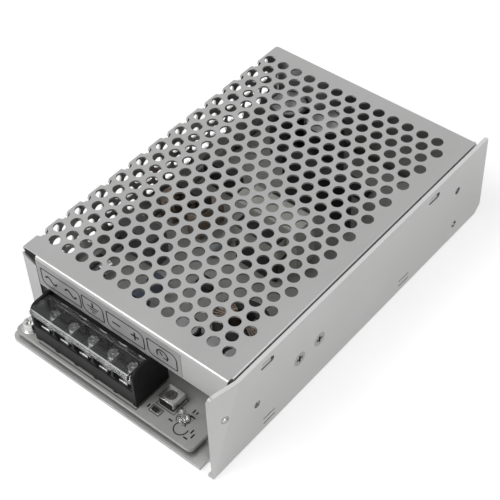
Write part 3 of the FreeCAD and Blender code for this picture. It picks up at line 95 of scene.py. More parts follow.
class Value:
    """A shader socket that takes part in Python arithmetic."""

    def __init__(self, owner: Nodes, socket: bpy.types.NodeSocket) -> None:
        """Keeps the socket and the tree that owns it."""
        self.owner = owner
        self.socket = socket

    def _math(self, operation: str, first: Value | float, second: Value | float) -> Value:
        """The result of one Math node."""
        node = self.owner.node("ShaderNodeMath", {"operation": operation}, {0: first, 1: second})
        return Value(self.owner, node.outputs[0])

    def __add__(self, other: Value | float) -> Value:
        """Sum."""
        return self._math("ADD", self, other)

    def __radd__(self, other: float) -> Value:
        """Sum, reflected."""
        return self._math("ADD", other, self)

    def __sub__(self, other: Value | float) -> Value:
        """Difference."""
        return self._math("SUBTRACT", self, other)

    def __rsub__(self, other: float) -> Value:
        """Difference, reflected."""
        return self._math("SUBTRACT", other, self)

    def __mul__(self, other: Value | float) -> Value:
        """Product."""
        return self._math("MULTIPLY", self, other)

    def __rmul__(self, other: float) -> Value:
        """Product, reflected."""
        return self._math("MULTIPLY", other, self)

    def low(self, other: Value | float) -> Value:
        """The smaller of two."""
        return self._math("MINIMUM", self, other)

    def wrap(self, span: float) -> Value:
        """Remainder after whole spans."""
        return self._math("FLOORED_MODULO", self, span)

    def size(self) -> Value:
        """Absolute value."""
        return self._math("ABSOLUTE", self, 0.0)


class Nodes:
    """A node tree that is filled through one method."""

    RAYS = ("Camera", "Transmission", "Glossy")

    def __init__(self, tree: bpy.types.NodeTree) -> None:
        """Empties the tree of a material, a world or a modifier."""
        self.tree = tree
        self.tree.nodes.clear()

    def node(
        self, kind: str, settings: dict[str, object], sockets: dict[object, object]
    ) -> bpy.types.Node:
        """Adds a node.

        Args:
            kind: The node's type.
            settings: Properties, set before any socket.
            sockets: Values or links by socket name or number.

        Returns:
            The node.
        """
        node = self.tree.nodes.new(kind)
        for name, setting in settings.items():
            setattr(node, name, setting)
        for name, value in sockets.items():
            self.feed(node.inputs[name], value)
        return node

    def feed(self, socket: bpy.types.NodeSocket, value: object) -> None:
        """Links or sets one input socket.

        Args:
            socket: The input.
            value: A Value, an output socket or a plain value.
        """
        if isinstance(value, Value):
            self.tree.links.new(value.socket, socket)
        elif isinstance(value, bpy.types.NodeSocket):
            self.tree.links.new(value, socket)
        else:
            socket.default_value = value

    def white_share(self, mirrored: float) -> Value:
        """How far a ray sees the backdrop as white.

        Args:
            mirrored: Share for a ray that comes off metal.

        Returns:
            One for the camera and through glass, zero for soft light.
        """
        path = self.node("ShaderNodeLightPath", {}, {}).outputs
        camera, glass, mirror = (Value(self, path[f"Is {kind} Ray"]) for kind in self.RAYS)
        return (camera + glass + mirror * mirrored).low(1.0)


class Shader(Nodes):
    """A material's node tree, built from values and expressions."""

    def __init__(self, name: str) -> None:
        """Starts a material with a Principled shader.

        Args:
            name: The material's name.
        """
        self.material = bpy.data.materials.new(name)
        self.material.use_nodes = True
        super().__init__(self.material.node_tree)
        self.surface = self.node("ShaderNodeBsdfPrincipled", {}, {})
        self.node("ShaderNodeOutputMaterial", {}, {0: self.surface.outputs[0]})
        self.place = self.node("ShaderNodeTexCoord", {}, {}).outputs["Object"]

    def coordinate(self, axis: Axis) -> Value:
        """One object coordinate, in millimetres."""
        parts = self.node("ShaderNodeSeparateXYZ", {}, {0: self.place})
        return Value(self, parts.outputs[axis.value]) * (1 / MM)

    def noise(
        self, scale: float | Sequence[float], detail: float = 3.0, rough: float = 0.5
    ) -> Value:
        """Cloud noise.

        Args:
            scale: Features per millimetre, the same all round or along each axis.
            detail: Octaves.
            rough: Weight of the finer octaves.

        Returns:
            A value about 0.5.
        """
        scales = (scale,) * 3 if isinstance(scale, float) else scale
        factors = tuple(part / MM for part in scales)
        place = self.node("ShaderNodeMapping", {}, {"Vector": self.place, "Scale": factors})
        sockets = {"Vector": place.outputs[0], "Scale": 1.0, "Detail": detail, "Roughness": rough}
        return Value(self, self.node("ShaderNodeTexNoise", {}, sockets).outputs[0])

    def ramp(self, value: Value, low: float, high: float) -> Value:
        """A value remapped from low..high to 0..1 and clamped."""
        sockets = {"Value": value, "From Min": low, "From Max": high, "To Min": 0.0, "To Max": 1.0}
        return Value(self, self.node("ShaderNodeMapRange", {"clamp": True}, sockets).outputs[0])

    def blend(self, factor: Value, first: Sequence[float], second: Sequence[float]) -> Value:
        """A mix of two colours.

        Args:
            factor: Share of the second.
            first: Triple at zero.
            second: Triple at one.

        Returns:
            The mixed colour.
        """
        colours = {6: (*first, 1.0), 7: (*second, 1.0)}
        node = self.node("ShaderNodeMix", {"data_type": "RGBA"}, {0: factor, **colours})
        return Value(self, node.outputs[2])

    def dress(self, **inputs: object) -> None:
        """Sets the Principled shader's sockets.

        Args:
            **inputs: Values, links or colours by socket name, with _ for a space.
        """
        for name, value in inputs.items():
            if isinstance(value, tuple):
                value = (*value, 1.0)
            self.feed(self.surface.inputs[name.replace("_", " ")], value)

    def bump(self, height: Value, depth: float) -> None:
        """Adds relief.

        Args:
            height: Relief, about 0 to 1.
            depth: Depth in millimetres.
        """
        sockets = {"Height": height, "Strength": 1.0, "Distance": depth * MM}
        node = self.node("ShaderNodeBump", {}, sockets)
        self.feed(self.surface.inputs["Normal"], node.outputs[0])


@dataclass(frozen=True)
class Finish:
    """A finish, laid on a material of its own."""

    name: str
    colour: Triple
    roughness: float

    def make(self) -> bpy.types.Material:
        """Builds the material.

        Returns:
            The material, with its shader dressed.
        """
        shader = Shader(self.name)
        self.lay(shader)
        return shader.material

    def lay(self, shader: Shader) -> None:
        """Dresses the shader, each kind of finish in its own way."""
        raise NotImplementedError

    def shade(self, share: float) -> tuple[float, ...]:
        """A share of the colour, no brighter than white."""
        return tuple(min(1.0, part * share) for part in self.colour)


@dataclass(frozen=True)
class SheetMetal(Finish):
    """Rolled sheet with fine grain, soft stains and rubbed patches."""

    rolled: Axis = Axis.Y
    stain: float = 0.05
    grain: float = 0.10
    depth: float = 0.006
    metallic: float = 1.0
    across: float = 3.0
    along: float = 0.03

    def lay(self, shader: Shader) -> None:
        """Lays rolling lines, clouds and specks.

        Args:
            shader: The shader to dress.
        """
        scale = [self.across] * 3
        scale[self.rolled.value] = self.along
        lines = shader.noise(scale, 4.0, 0.65)
        clouds = shader.noise(0.035)
        specks = shader.noise(1.3, 4.0, 0.7)
        tone = (clouds - 0.5) * self.stain + (lines - 0.5) * (0.5 * self.stain)
        dark, light = self.shade(1 - self.stain), self.shade(1 + self.stain)
        worn = shader.ramp(specks, 0.62, 0.74)
        rough = self.roughness + (lines - 0.5) * self.grain + (clouds - 0.5) * 0.12 + worn * 0.08
        shader.dress(
            Base_Color=shader.blend(tone * 6.0 + 0.5, dark, light), Metallic=self.metallic,
            Roughness=rough,
        )
        shader.bump(lines * 0.7 + specks * 0.3, self.depth)


@dataclass(frozen=True)
class Plated(Finish):
    """Bright plated metal of screws, washers and clips."""

    dullest: float = 0.72
    depth: float = 0.01

    def lay(self, shader: Shader) -> None:
        """Lays dull patches and fine pits.

        Args:
            shader: The shader to dress.
        """
        fine = shader.noise(2.2, 4.0, 0.6)
        wide = shader.noise(0.4, 2.0)
        dull = shader.ramp(fine, 0.45, 0.75) * 0.6
        rough = self.roughness + (wide - 0.5) * 0.2 + (fine - 0.5) * 0.1
        shader.dress(
            Base_Color=shader.blend(dull, self.colour, self.shade(self.dullest)), Metallic=1.0,
            Roughness=rough,
        )
        shader.bump(fine, self.depth)


@dataclass(frozen=True)
class Moulded(Finish):
    """Moulded or dipped plastic, resin and ferrite."""

    depth: float = 0.02
    mottle: float = 0.15
    coat: float = 0.0
    gloss: float = 0.5
    dusty: float = 0.03

    def lay(self, shader: Shader) -> None:
        """Lays mottled colour, dust and moulding grit.

        Args:
            shader: The shader to dress.
        """
        grit = shader.noise(3.5, 3.0, 0.6)
        clouds = shader.noise(0.12)
        dust = shader.ramp(shader.noise(0.7, 5.0, 0.7), 0.55, 0.8)
        pale = tuple(part + (1 - part) * self.dusty + part * self.mottle for part in self.colour)
        shader.dress(
            Base_Color=shader.blend(clouds * 0.7 + dust * 0.3, self.shade(1 - self.mottle), pale),
            Roughness=self.roughness + (grit - 0.5) * 0.12 + dust * 0.06,
            Coat_Weight=self.coat, Specular_IOR_Level=self.gloss,
        )
        shader.bump(grit, self.depth)


@dataclass(frozen=True)
class ClearPlastic(Finish):
    """Clear moulding with faint streaks."""

    bending: float = 1.49
    depth: float = 0.004

    def lay(self, shader: Shader) -> None:
        """Lays streaks along X.

        Args:
            shader: The shader to dress.
        """
        streaks = shader.noise((0.15, 0.6, 0.6))
        rough = self.roughness + (streaks - 0.5) * 0.06
        shader.dress(
            Base_Color=self.colour, Roughness=rough, IOR=self.bending, Transmission_Weight=1.0
        )
        shader.bump(streaks, self.depth)


@dataclass(frozen=True)
class BoardLaminate(Finish):
    """Pale laminate with a fibre texture and the tracks that show through."""

    shadow: float = 0.86
    depth: float = 0.015

    def lay(self, shader: Shader) -> None:
        """Lays fibre, tracks and flecks.

        Args:
            shader: The shader to dress.
        """
        fibre = shader.noise((1.1, 4.0, 1.0), 3.0, 0.6)
        tracks = shader.ramp(shader.noise((0.10, 0.05, 0.0), 1.0), 0.50, 0.53)
        fleck = shader.noise(2.4, 3.0, 0.6)
        tone = tracks * 0.35 + (fibre - 0.5) * 0.7 + 0.15
        shader.dress(
            Base_Color=shader.blend(tone, self.colour, self.shade(self.shadow)),
            Roughness=self.roughness + (fleck - 0.5) * 0.25, Coat_Weight=0.15,
        )
        shader.bump(fibre * 0.5 + tracks * 0.5, self.depth)


@dataclass(frozen=True)
class Wound(Finish):
    """Enamelled wire, lying side by side about one axis."""

    about: Axis = Axis.Z
    pitch: float = 0.7
    # groove: share of the colour left in the grooves as painted shade; it also scales the bump
    # depth
    groove: float = 0.25

    def lay(self, shader: Shader) -> None:
        """Lays the turns, with painted shade darkening the grooves between them.

        Args:
            shader: The shader to dress.
        """
        place = shader.coordinate(self.about)
        turn = (place.wrap(self.pitch) * (1 / self.pitch) - 0.5).size() * 2.0
        wander = shader.noise(0.3)
        # painted shade: the colour darkens towards each turn's edge, where the turns meet
        edge = shader.ramp(turn, 0.55, 1.0)
        shader.dress(
            Base_Color=shader.blend(edge, self.colour, self.shade(self.groove)), Metallic=1.0,
            Roughness=self.roughness + (wander - 0.5) * 0.2,
        )
        shader.bump(1.0 - turn * turn, self.groove * self.pitch)


@dataclass(frozen=True)
class Ink(Finish):
    """Matt printing ink, thin at places."""

    fading: float = 0.06

    def lay(self, shader: Shader) -> None:
        """Lays ink that fades where it is thin.

        Args:
            shader: The shader to dress.
        """
        thin = shader.ramp(shader.noise(5.0, 3.0, 0.7), 0.45, 0.75)
        faded = tuple(part + self.fading for part in self.colour)
        shader.dress(
            Base_Color=shader.blend(thin * 0.6, self.colour, faded),
            Roughness=self.roughness + thin * 0.2,
        )


class Paint:
    """Every finish of the part, made once."""

    FINISHES: dict[str, Finish] = {
        "chassis": SheetMetal(
            "rolled_aluminium", (0.60, 0.60, 0.596), 0.34, stain=0.10, metallic=0.85
        ),
        "cover": SheetMetal(
            "galvanised_sheet", (0.61, 0.61, 0.606), 0.32, stain=0.12, metallic=0.85
        ),
        # sheared edge: real bare metal, painted near white and matt as a highlight on the walls'
        # top edge
        "sheared": SheetMetal(
            "sheared_edge", (0.94, 0.94, 0.935), 0.42, stain=0.03, metallic=0.0
        ),
        "can": SheetMetal("can_aluminium", (0.55, 0.55, 0.55), 0.32, Axis.Z, 0.03),
        "anodised": SheetMetal("black_anodised", (0.07, 0.07, 0.072), 0.4, Axis.X, 0.2),
        "zinc": Plated("zinc_plate", (0.80, 0.80, 0.78), 0.2),
        "head": Plated("dull_zinc", (0.42, 0.42, 0.415), 0.3),
        "tin": Plated("tinned_strip", (0.88, 0.87, 0.85), 0.2),
        "black_zinc": Plated("black_zinc", (0.12, 0.12, 0.125), 0.34),
        "copper": Plated("enamelled_copper", (0.32, 0.26, 0.22), 0.3),
        "rotor": Plated("dark_rotor", (0.24, 0.235, 0.225), 0.35),
        "coil": Wound("wound_tape", (0.30, 0.24, 0.20), 0.3),
        "block": Moulded("black_moulding", (0.005, 0.005, 0.006), 0.5, gloss=0.25),
        "resin": Moulded("black_resin", (0.018, 0.018, 0.02), 0.5, 0.03),
        "ferrite": Moulded("ferrite", (0.04, 0.04, 0.042), 0.6, 0.04),
        "bobbin": Moulded("bobbin_moulding", (0.02, 0.02, 0.022), 0.45),
        "film": Moulded("film_sheet", (0.70, 0.70, 0.68), 0.4, 0.01, 0.08),
        "label": Moulded("label_film", (0.42, 0.42, 0.416), 0.34, 0.004, 0.05, 0.1),
        "pad": Moulded("silicone_pad", (0.45, 0.46, 0.47), 0.6),
        "tape": Moulded("winding_tape", (0.74, 0.73, 0.68), 0.34, 0.02, 0.1, 0.2),
        "sleeve": Moulded("can_sleeve", (0.02, 0.022, 0.028), 0.3, 0.006, 0.2, 0.3),
        "box": Moulded("film_box", (0.10, 0.10, 0.105), 0.36, 0.008, 0.15, 0.1),
        "blue": Moulded("dipped_disc", (0.10, 0.13, 0.19), 0.3, 0.03, 0.15, 0.3),
        "green": Moulded("dipped_green", (0.05, 0.08, 0.065), 0.35, 0.03, 0.2, 0.2),
        "resistor": Moulded("resistor_coat", (0.50, 0.52, 0.54), 0.4),
        "board": BoardLaminate("board_laminate", (0.54, 0.54, 0.525), 0.42),
        "glass": ClearPlastic("fuse_glass", (0.92, 0.94, 0.94), 0.02),
        "clear": ClearPlastic("clear_moulding", (0.50, 0.51, 0.51), 0.07),
        "lamp": ClearPlastic("lamp_resin", (0.90, 0.92, 0.90), 0.12),
        "ink": Ink("black_ink", (0.012, 0.012, 0.013), 0.6),
    }

    def __init__(self) -> None:
        """Builds the materials."""
        self.table = {key: finish.make() for key, finish in self.FINISHES.items()}

    def __getitem__(self, key: str) -> bpy.types.Material:
        """One finish by its key."""
        return self.table[key]


def smooth(mesh: bpy.types.Mesh, angle: float) -> None:
    """Shades a mesh as one up to an angle between its faces.

    Args:
        mesh: The mesh.
        angle: The greatest such angle, in degrees.
    """
    for face in mesh.polygons:
        face.use_smooth = True
    mesh.set_sharp_from_angle(angle=math.radians(angle))


def make_object(shape: Shape, name: str, angle: float = SHARP_PLASTIC) -> bpy.types.Object:
    """Turns a shape into an object.

    Args:
        shape: The shape, freed afterwards.
        name: Name of the object.
        angle: Greatest angle between faces that shade as one, in degrees.

    Returns:
        The object, linked to the scene.
    """
    mesh = bpy.data.meshes.new(name)
    shape.to_mesh(mesh)
    shape.free()
    smooth(mesh, angle)
    item = bpy.data.objects.new(name, mesh)
    bpy.context.scene.collection.objects.link(item)
    return item


def settle(item: bpy.types.Object) -> None:
    """Bakes an object's modifiers into its mesh.

    Args:
        item: The object, left with no modifiers.
    """
    bpy.context.view_layer.update()
    graph = bpy.context.evaluated_depsgraph_get()
    mesh = bpy.data.meshes.new_from_object(item.evaluated_get(graph), depsgraph=graph)
    item.modifiers.clear()
    old = item.data
    item.data = mesh
    mesh.name = item.name
    bpy.data.meshes.remove(old)


def settle_level(item: bpy.types.Object) -> None:
    """Bakes an object's modifiers, with its flat faces shaded flat up to their rounds.

    Args:
        item: The object, left with no modifiers.
    """
    level = item.modifiers.new("level", "WEIGHTED_NORMAL")
    level.keep_sharp = True
    level.weight = 100
    settle(item)


def place(item: bpy.types.Object, body: str, slot: str, material: bpy.types.Material) -> None:
    """Gives a finished piece its material and body.

    Args:
        item: The piece.
        body: Body that it rides on.
        slot: Material slot of the record; not used.
        material: Its finish.
    """
    item.data.materials.clear()
    item.data.materials.append(material)
    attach(item, body)
    LOG.info("%s: %d faces", item.name, len(item.data.polygons))


def add_piece(
    shape: Shape, name: str, slot: str, material: bpy.types.Material,
    angle: float = SHARP_PLASTIC, node: str = "",
) -> None:
    """Makes a piece of the case.

    Args:
        shape: The piece's shape, freed afterwards.
        name: Name of the piece.
        slot: Material slot of the record.
        material: Its finish.
        angle: Greatest angle between faces that shade as one, in degrees.
        node: Node that the piece stands for, if any.
    """
    item = make_object(shape, name, angle)
    place(item, CASE_BODY, slot, material)
    if node:
        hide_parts(node)


@dataclass
class Eased:
    """A node's own shape with its edges broken by a small round.

    The width is in millimetres, and both angles are in degrees.
    """

    node: str
    slot: str
    finish: str
    body: str = CASE_BODY
    width: float = 0.12
    segments: int = 2
    crease: float = 28.0
    coplanar: float = 1.0
    # the sheet's top band: its sheared edge, painted bright as a highlight, and how deep that band
    # is
    sheared: bool = False
    sheared_edge_and_highlight_depth: float = 0.3

    def copied(self, frame: dict) -> Shape:
        """A welded copy of the node's mesh with its flat faces joined.

        Args:
            frame: The loaded frame.

        Returns:
            The copy.
        """
        shape = bmesh.new()
        shape.from_mesh(frame["nodes"][self.node].data)
        bmesh.ops.remove_doubles(shape, verts=shape.verts, dist=COPY_WELD)
        bmesh.ops.dissolve_limit(
            shape, angle_limit=math.radians(self.coplanar), verts=shape.verts, edges=shape.edges
        )
        return shape

    def build(self, frame: dict, paint: Paint) -> None:
        """Makes the piece that stands for the node.

        Args:
            frame: The loaded frame.
            paint: The finishes.
        """
        item = make_object(self.copied(frame), self.node + "_eased")
        bevel = item.modifiers.new("edges", "BEVEL")
        bevel.width = self.width * MM
        bevel.segments = self.segments
        bevel.limit_method = "ANGLE"
        bevel.angle_limit = math.radians(self.crease)
        bevel.use_clamp_overlap = True
        settle_level(item)
        place(item, self.body, self.slot, paint[self.finish])
        # the top band of faces takes the sheared edge, painted bright as a highlight
        if self.sheared:
            self.paint_bare_edge_and_highlight(item.data, paint["sheared"])
        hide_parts(self.node)

    def paint_bare_edge_and_highlight(self, mesh: bpy.types.Mesh, finish: bpy.types.Material) -> None:
        """Gives the sheared edge at the top of a sheet its bare metal, painted near white and matt
        as a highlight.

        Args:
            mesh: Mesh of the piece.
            finish: Finish of the bare metal, bright as a painted highlight.
        """
        mesh.materials.append(finish)
        low = max(vertex.co.z for vertex in mesh.vertices) - self.sheared_edge_and_highlight_depth * MM
        for face in mesh.polygons:
            if min(mesh.vertices[index].co.z for index in face.vertices) > low:
                face.material_index = 1


def outward(shape: Shape) -> Shape:
    """The same shape, with its faces pointing outwards."""
    bmesh.ops.recalc_face_normals(shape, faces=shape.faces)
    return shape


def moved(shape: Shape, x: float, y: float, z: float) -> Shape:
    """The same shape, moved by millimetres."""
    bmesh.ops.translate(shape, verts=shape.verts, vec=Vector((x, y, z)) * MM)
    return shape


def swung(shape: Shape, axis: Axis, angle: float) -> Shape:
    """The same shape, turned about an axis of the frame.

    Args:
        shape: The shape, changed in place.
        axis: Axis through the origin.
        angle: Turn in degrees.

    Returns:
        The shape.
    """
    turn = Matrix.Rotation(math.radians(angle), 3, axis.name)
    bmesh.ops.rotate(shape, verts=shape.verts, cent=(0, 0, 0), matrix=turn)
    return shape


def joined(shapes: Iterable[Shape]) -> Shape:
    """Several shapes as one.

    Args:
        shapes: The shapes, freed afterwards.

    Returns:
        The whole.
    """
    whole = bmesh.new()
    for shape in shapes:
        spare = bpy.data.meshes.new("spare")
        shape.to_mesh(spare)
        shape.free()
        whole.from_mesh(spare)
        bpy.data.meshes.remove(spare)
    return whole


def split(shape: Shape, axis: Axis, line: float) -> None:
    """Cuts a flat shape's faces along a line and keeps both sides.

    Args:
        shape: The shape.
        axis: Direction across the line.
        line: Where the line lies, in millimetres.
    """
    across = Vector((0.0, 0.0, 0.0))
    across[axis.value] = 1.0
    bmesh.ops.bisect_plane(
        shape, geom=shape.verts[:] + shape.edges[:] + shape.faces[:], dist=CUT_SLACK,
        plane_co=across * line * MM, plane_no=across,
    )


def circle(radius: float, sides: int) -> list[Point]:
    """Corners of a regular outline about the origin."""
    turns = [2 * math.pi * side / sides for side in range(sides)]
    return [(radius * math.cos(turn), radius * math.sin(turn)) for turn in turns]


def arc(x: float, y: float, radius: float, start: float, end: float, steps: int = 8) -> list[Point]:
    """Points on an arc between two angles in degrees, one more than its steps."""
    turns = [math.radians(start + (end - start) * step / steps) for step in range(steps + 1)]
    return [(x + radius * math.cos(turn), y + radius * math.sin(turn)) for turn in turns]


def rounded_box(low: Point, high: Point, radii: Sequence[float], steps: int = 5) -> list[Point]:
    """Outline of a box with its own radius at each corner.

    Args:
        low: Lower left corner.
        high: Upper right corner.
        radii: Lower left, lower right, upper right and upper left.
        steps: Steps round each corner.

    Returns:
        The points, counterclockwise.
    """
    first, second, third, fourth = radii
    return [
        *arc(low[0] + first, low[1] + first, first, 180, 270, steps),
        *arc(high[0] - second, low[1] + second, second, 270, 360, steps),
        *arc(high[0] - third, high[1] - third, third, 0, 90, steps),
        *arc(low[0] + fourth, high[1] - fourth, fourth, 90, 180, steps),
    ]


def turned(points: Sequence[Point], steps: int = 48) -> Shape:
    """A closed shape turned about Z.

    Args:
        points: Radius and height pairs in millimetres, from bottom centre to top centre.
        steps: Sides round the axis.

    Returns:
        The shape about the origin.
    """
    shape = bmesh.new()
    rings = []
    for radius, height in points:
        corners = circle(radius, steps) if radius > POLE_RADIUS else [(0.0, 0.0)]
        rings.append([shape.verts.new((x * MM, y * MM, height * MM)) for x, y in corners])
    for low, high in zip(rings, rings[1:]):
        for step in range(steps):
            after = (step + 1) % steps
            if len(low) == 1:
                face = (low[0], high[after], high[step])
            elif len(high) == 1:
                face = (low[step], low[after], high[0])
            else:
                face = (low[step], low[after], high[after], high[step])
            shape.faces.new(face)
    return outward(shape)


def prism(outline: Sequence[Point], low: float, high: float) -> Shape:
    """An outline in XY raised between two heights.

    Args:
        outline: Its points in millimetres.
        low: Lower height.
        high: Upper height.

    Returns:
        The closed shape.
    """
    shape = bmesh.new()
    rings = [[shape.verts.new(Vector((x, y, z)) * MM) for x, y in outline] for z in (low, high)]
    for index, point in enumerate(rings[0]):
        shape.faces.new((rings[0][index - 1], point, rings[1][index], rings[1][index - 1]))
    shape.faces.new(rings[0])
    shape.faces.new(rings[1])
    return outward(shape)


def ribbon(
    points: Sequence[Point], width: float, closed: bool = False, thick: float = 0.03
) -> Shape:
    """A flat printed line in the XY plane.

    Args:
        points: Middle line in millimetres.
        width: Line width.
        closed: Whether the last point joins the first.
        thick: Height of the ink.

    Returns:
        The line, standing on z = 0.
    """
    count = len(points)
    sharpest = 0.4
    left: list[Vector] = []
    right: list[Vector] = []
    for index, (x, y) in enumerate(points):
        here = Vector((x, y, 0))
        before = Vector((*points[index - 1], 0)) if closed or index else None
        after = Vector((*points[(index + 1) % count], 0)) if closed or index < count - 1 else None
        first = (here - before).normalized() if before else (after - here).normalized()
        second = (after - here).normalized() if after else first
        middle = (first + second).normalized()
        side = Vector((-middle.y, middle.x, 0)) / max(sharpest, middle.dot(first))
        left.append(here + side * (width / 2))
        right.append(here - side * (width / 2))
    shape = bmesh.new()
    lows = [[shape.verts.new(spot * MM) for spot in row] for row in (left, right)]
    up = Vector((0, 0, thick))
    tops = [[shape.verts.new((spot + up) * MM) for spot in row] for row in (left, right)]
    loop = (tops[0], tops[1], lows[1], lows[0])
    for index in range(count if closed else count - 1):
        after = (index + 1) % count
        for one, two in zip(loop, (*loop[1:], loop[0])):
            shape.faces.new((one[index], two[index], two[after], one[after]))
    if not closed:
        for index in (0, count - 1):
            shape.faces.new([row[index] for row in loop])
    return outward(shape)


def wire(points: Sequence[Triple], radius: float) -> Shape:
    """A closed loop of round wire.

    Args:
        points: Its middle line in millimetres.
        radius: Radius of the wire.

    Returns:
        The wire's skin.
    """
    data = bpy.data.curves.new("wire", "CURVE")
    data.dimensions = "3D"
    data.bevel_depth = radius * MM
    data.bevel_resolution = 2
    path = data.splines.new("POLY")
    path.points.add(len(points) - 1)
    for point, spot in zip(path.points, points):
        point.co = (*(Vector(spot) * MM), 1.0)
    path.use_cyclic_u = True
    item = bpy.data.objects.new("wire", data)
    mesh = bpy.data.meshes.new_from_object(item)
    shape = bmesh.new()
    shape.from_mesh(mesh)
    bpy.data.objects.remove(item)
    bpy.data.curves.remove(data)
    bpy.data.meshes.remove(mesh)
    return shape


class CellPattern(Nodes):
    """A Geometry Nodes tree that repeats one cell in rows, columns or turns."""

    INPUTS = (
        ("Columns", "NodeSocketInt", 1),
        ("Rows", "NodeSocketInt", 1),
        ("Pitch", "NodeSocketFloat", 0.0),
        ("Row Pitch", "NodeSocketFloat", 0.0),
        ("Rise", "NodeSocketFloat", 0.0),
        ("Turn", "NodeSocketFloat", 0.0),
        ("Cell", "NodeSocketObject", None),
        ("Finish", "NodeSocketMaterial", None),
    )

    def __init__(self) -> None:
        """Builds the tree."""
        super().__init__(bpy.data.node_groups.new("cell_pattern", "GeometryNodeTree"))
        faces = self.tree.interface
        self.keys: dict[str, str] = {}
        faces.new_socket("Geometry", in_out="OUTPUT", socket_type="NodeSocketGeometry")
        for name, kind, usual in self.INPUTS:
            socket = faces.new_socket(name, in_out="INPUT", socket_type=kind)
            self.keys[name] = socket.identifier
            if usual is not None:
                socket.default_value = usual
        start = self.node("NodeGroupInput", {}, {}).outputs
        columns, rows = Value(self, start["Columns"]), Value(self, start["Rows"])
        number = Value(self, self.node("GeometryNodeInputIndex", {}, {}).outputs[0])
        grid = self.node("GeometryNodeMeshGrid", {}, {
            "Size X": (columns - 1.0) * Value(self, start["Pitch"]),
            "Size Y": (rows - 1.0) * Value(self, start["Row Pitch"]),
            "Vertices X": start["Columns"],
            "Vertices Y": start["Rows"],
        })
        lift, turn = (
            self.node("ShaderNodeCombineXYZ", {}, {2: number * Value(self, start[name])})
            for name in ("Rise", "Turn")
        )
        points = self.node(
            "GeometryNodeSetPosition", {}, {"Geometry": grid.outputs[0], "Offset": lift.outputs[0]}
        )
        facing = self.node("FunctionNodeEulerToRotation", {}, {0: turn.outputs[0]})
        source = self.node("GeometryNodeObjectInfo", {}, {"Object": start["Cell"]})
        copies = self.node("GeometryNodeInstanceOnPoints", {}, {
            "Points": points.outputs[0],
            "Instance": source.outputs["Geometry"],
            "Rotation": facing.outputs[0],
        })
        real = self.node("GeometryNodeRealizeInstances", {}, {0: copies.outputs[0]})
        weld = self.node(
            "GeometryNodeMergeByDistance", {}, {"Geometry": real.outputs[0], "Distance": CUT_SLACK}
        )
        dress = self.node("GeometryNodeSetMaterial", {}, {
            "Geometry": weld.outputs[0],
            "Material": start["Finish"],
        })
        self.node("NodeGroupOutput", {}, {0: dress.outputs[0]})

    def run(self, shape: Shape, finish: bpy.types.Material, **inputs: object) -> Shape:
        """Repeats a cell.

        Args:
            shape: The cell, freed afterwards.
            finish: Its material.
            **inputs: The tree's other inputs, with _ for a space.

        Returns:
            The repeated cells: rows and columns centred on the origin, turns counted from it.
        """
        cell = make_object(shape, "cell")
        item = bpy.data.objects.new("pattern", bpy.data.meshes.new("pattern"))
        bpy.context.scene.collection.objects.link(item)
        pattern = item.modifiers.new("pattern", "NODES")
        pattern.node_group = self.tree
        for key, value in {**inputs, "Cell": cell, "Finish": finish}.items():
            pattern[self.keys[key.replace("_", " ")]] = value
        settle(item)
        whole = bmesh.new()
        whole.from_mesh(item.data)
        bpy.data.objects.remove(item)
        bpy.data.objects.remove(cell)
        return whole


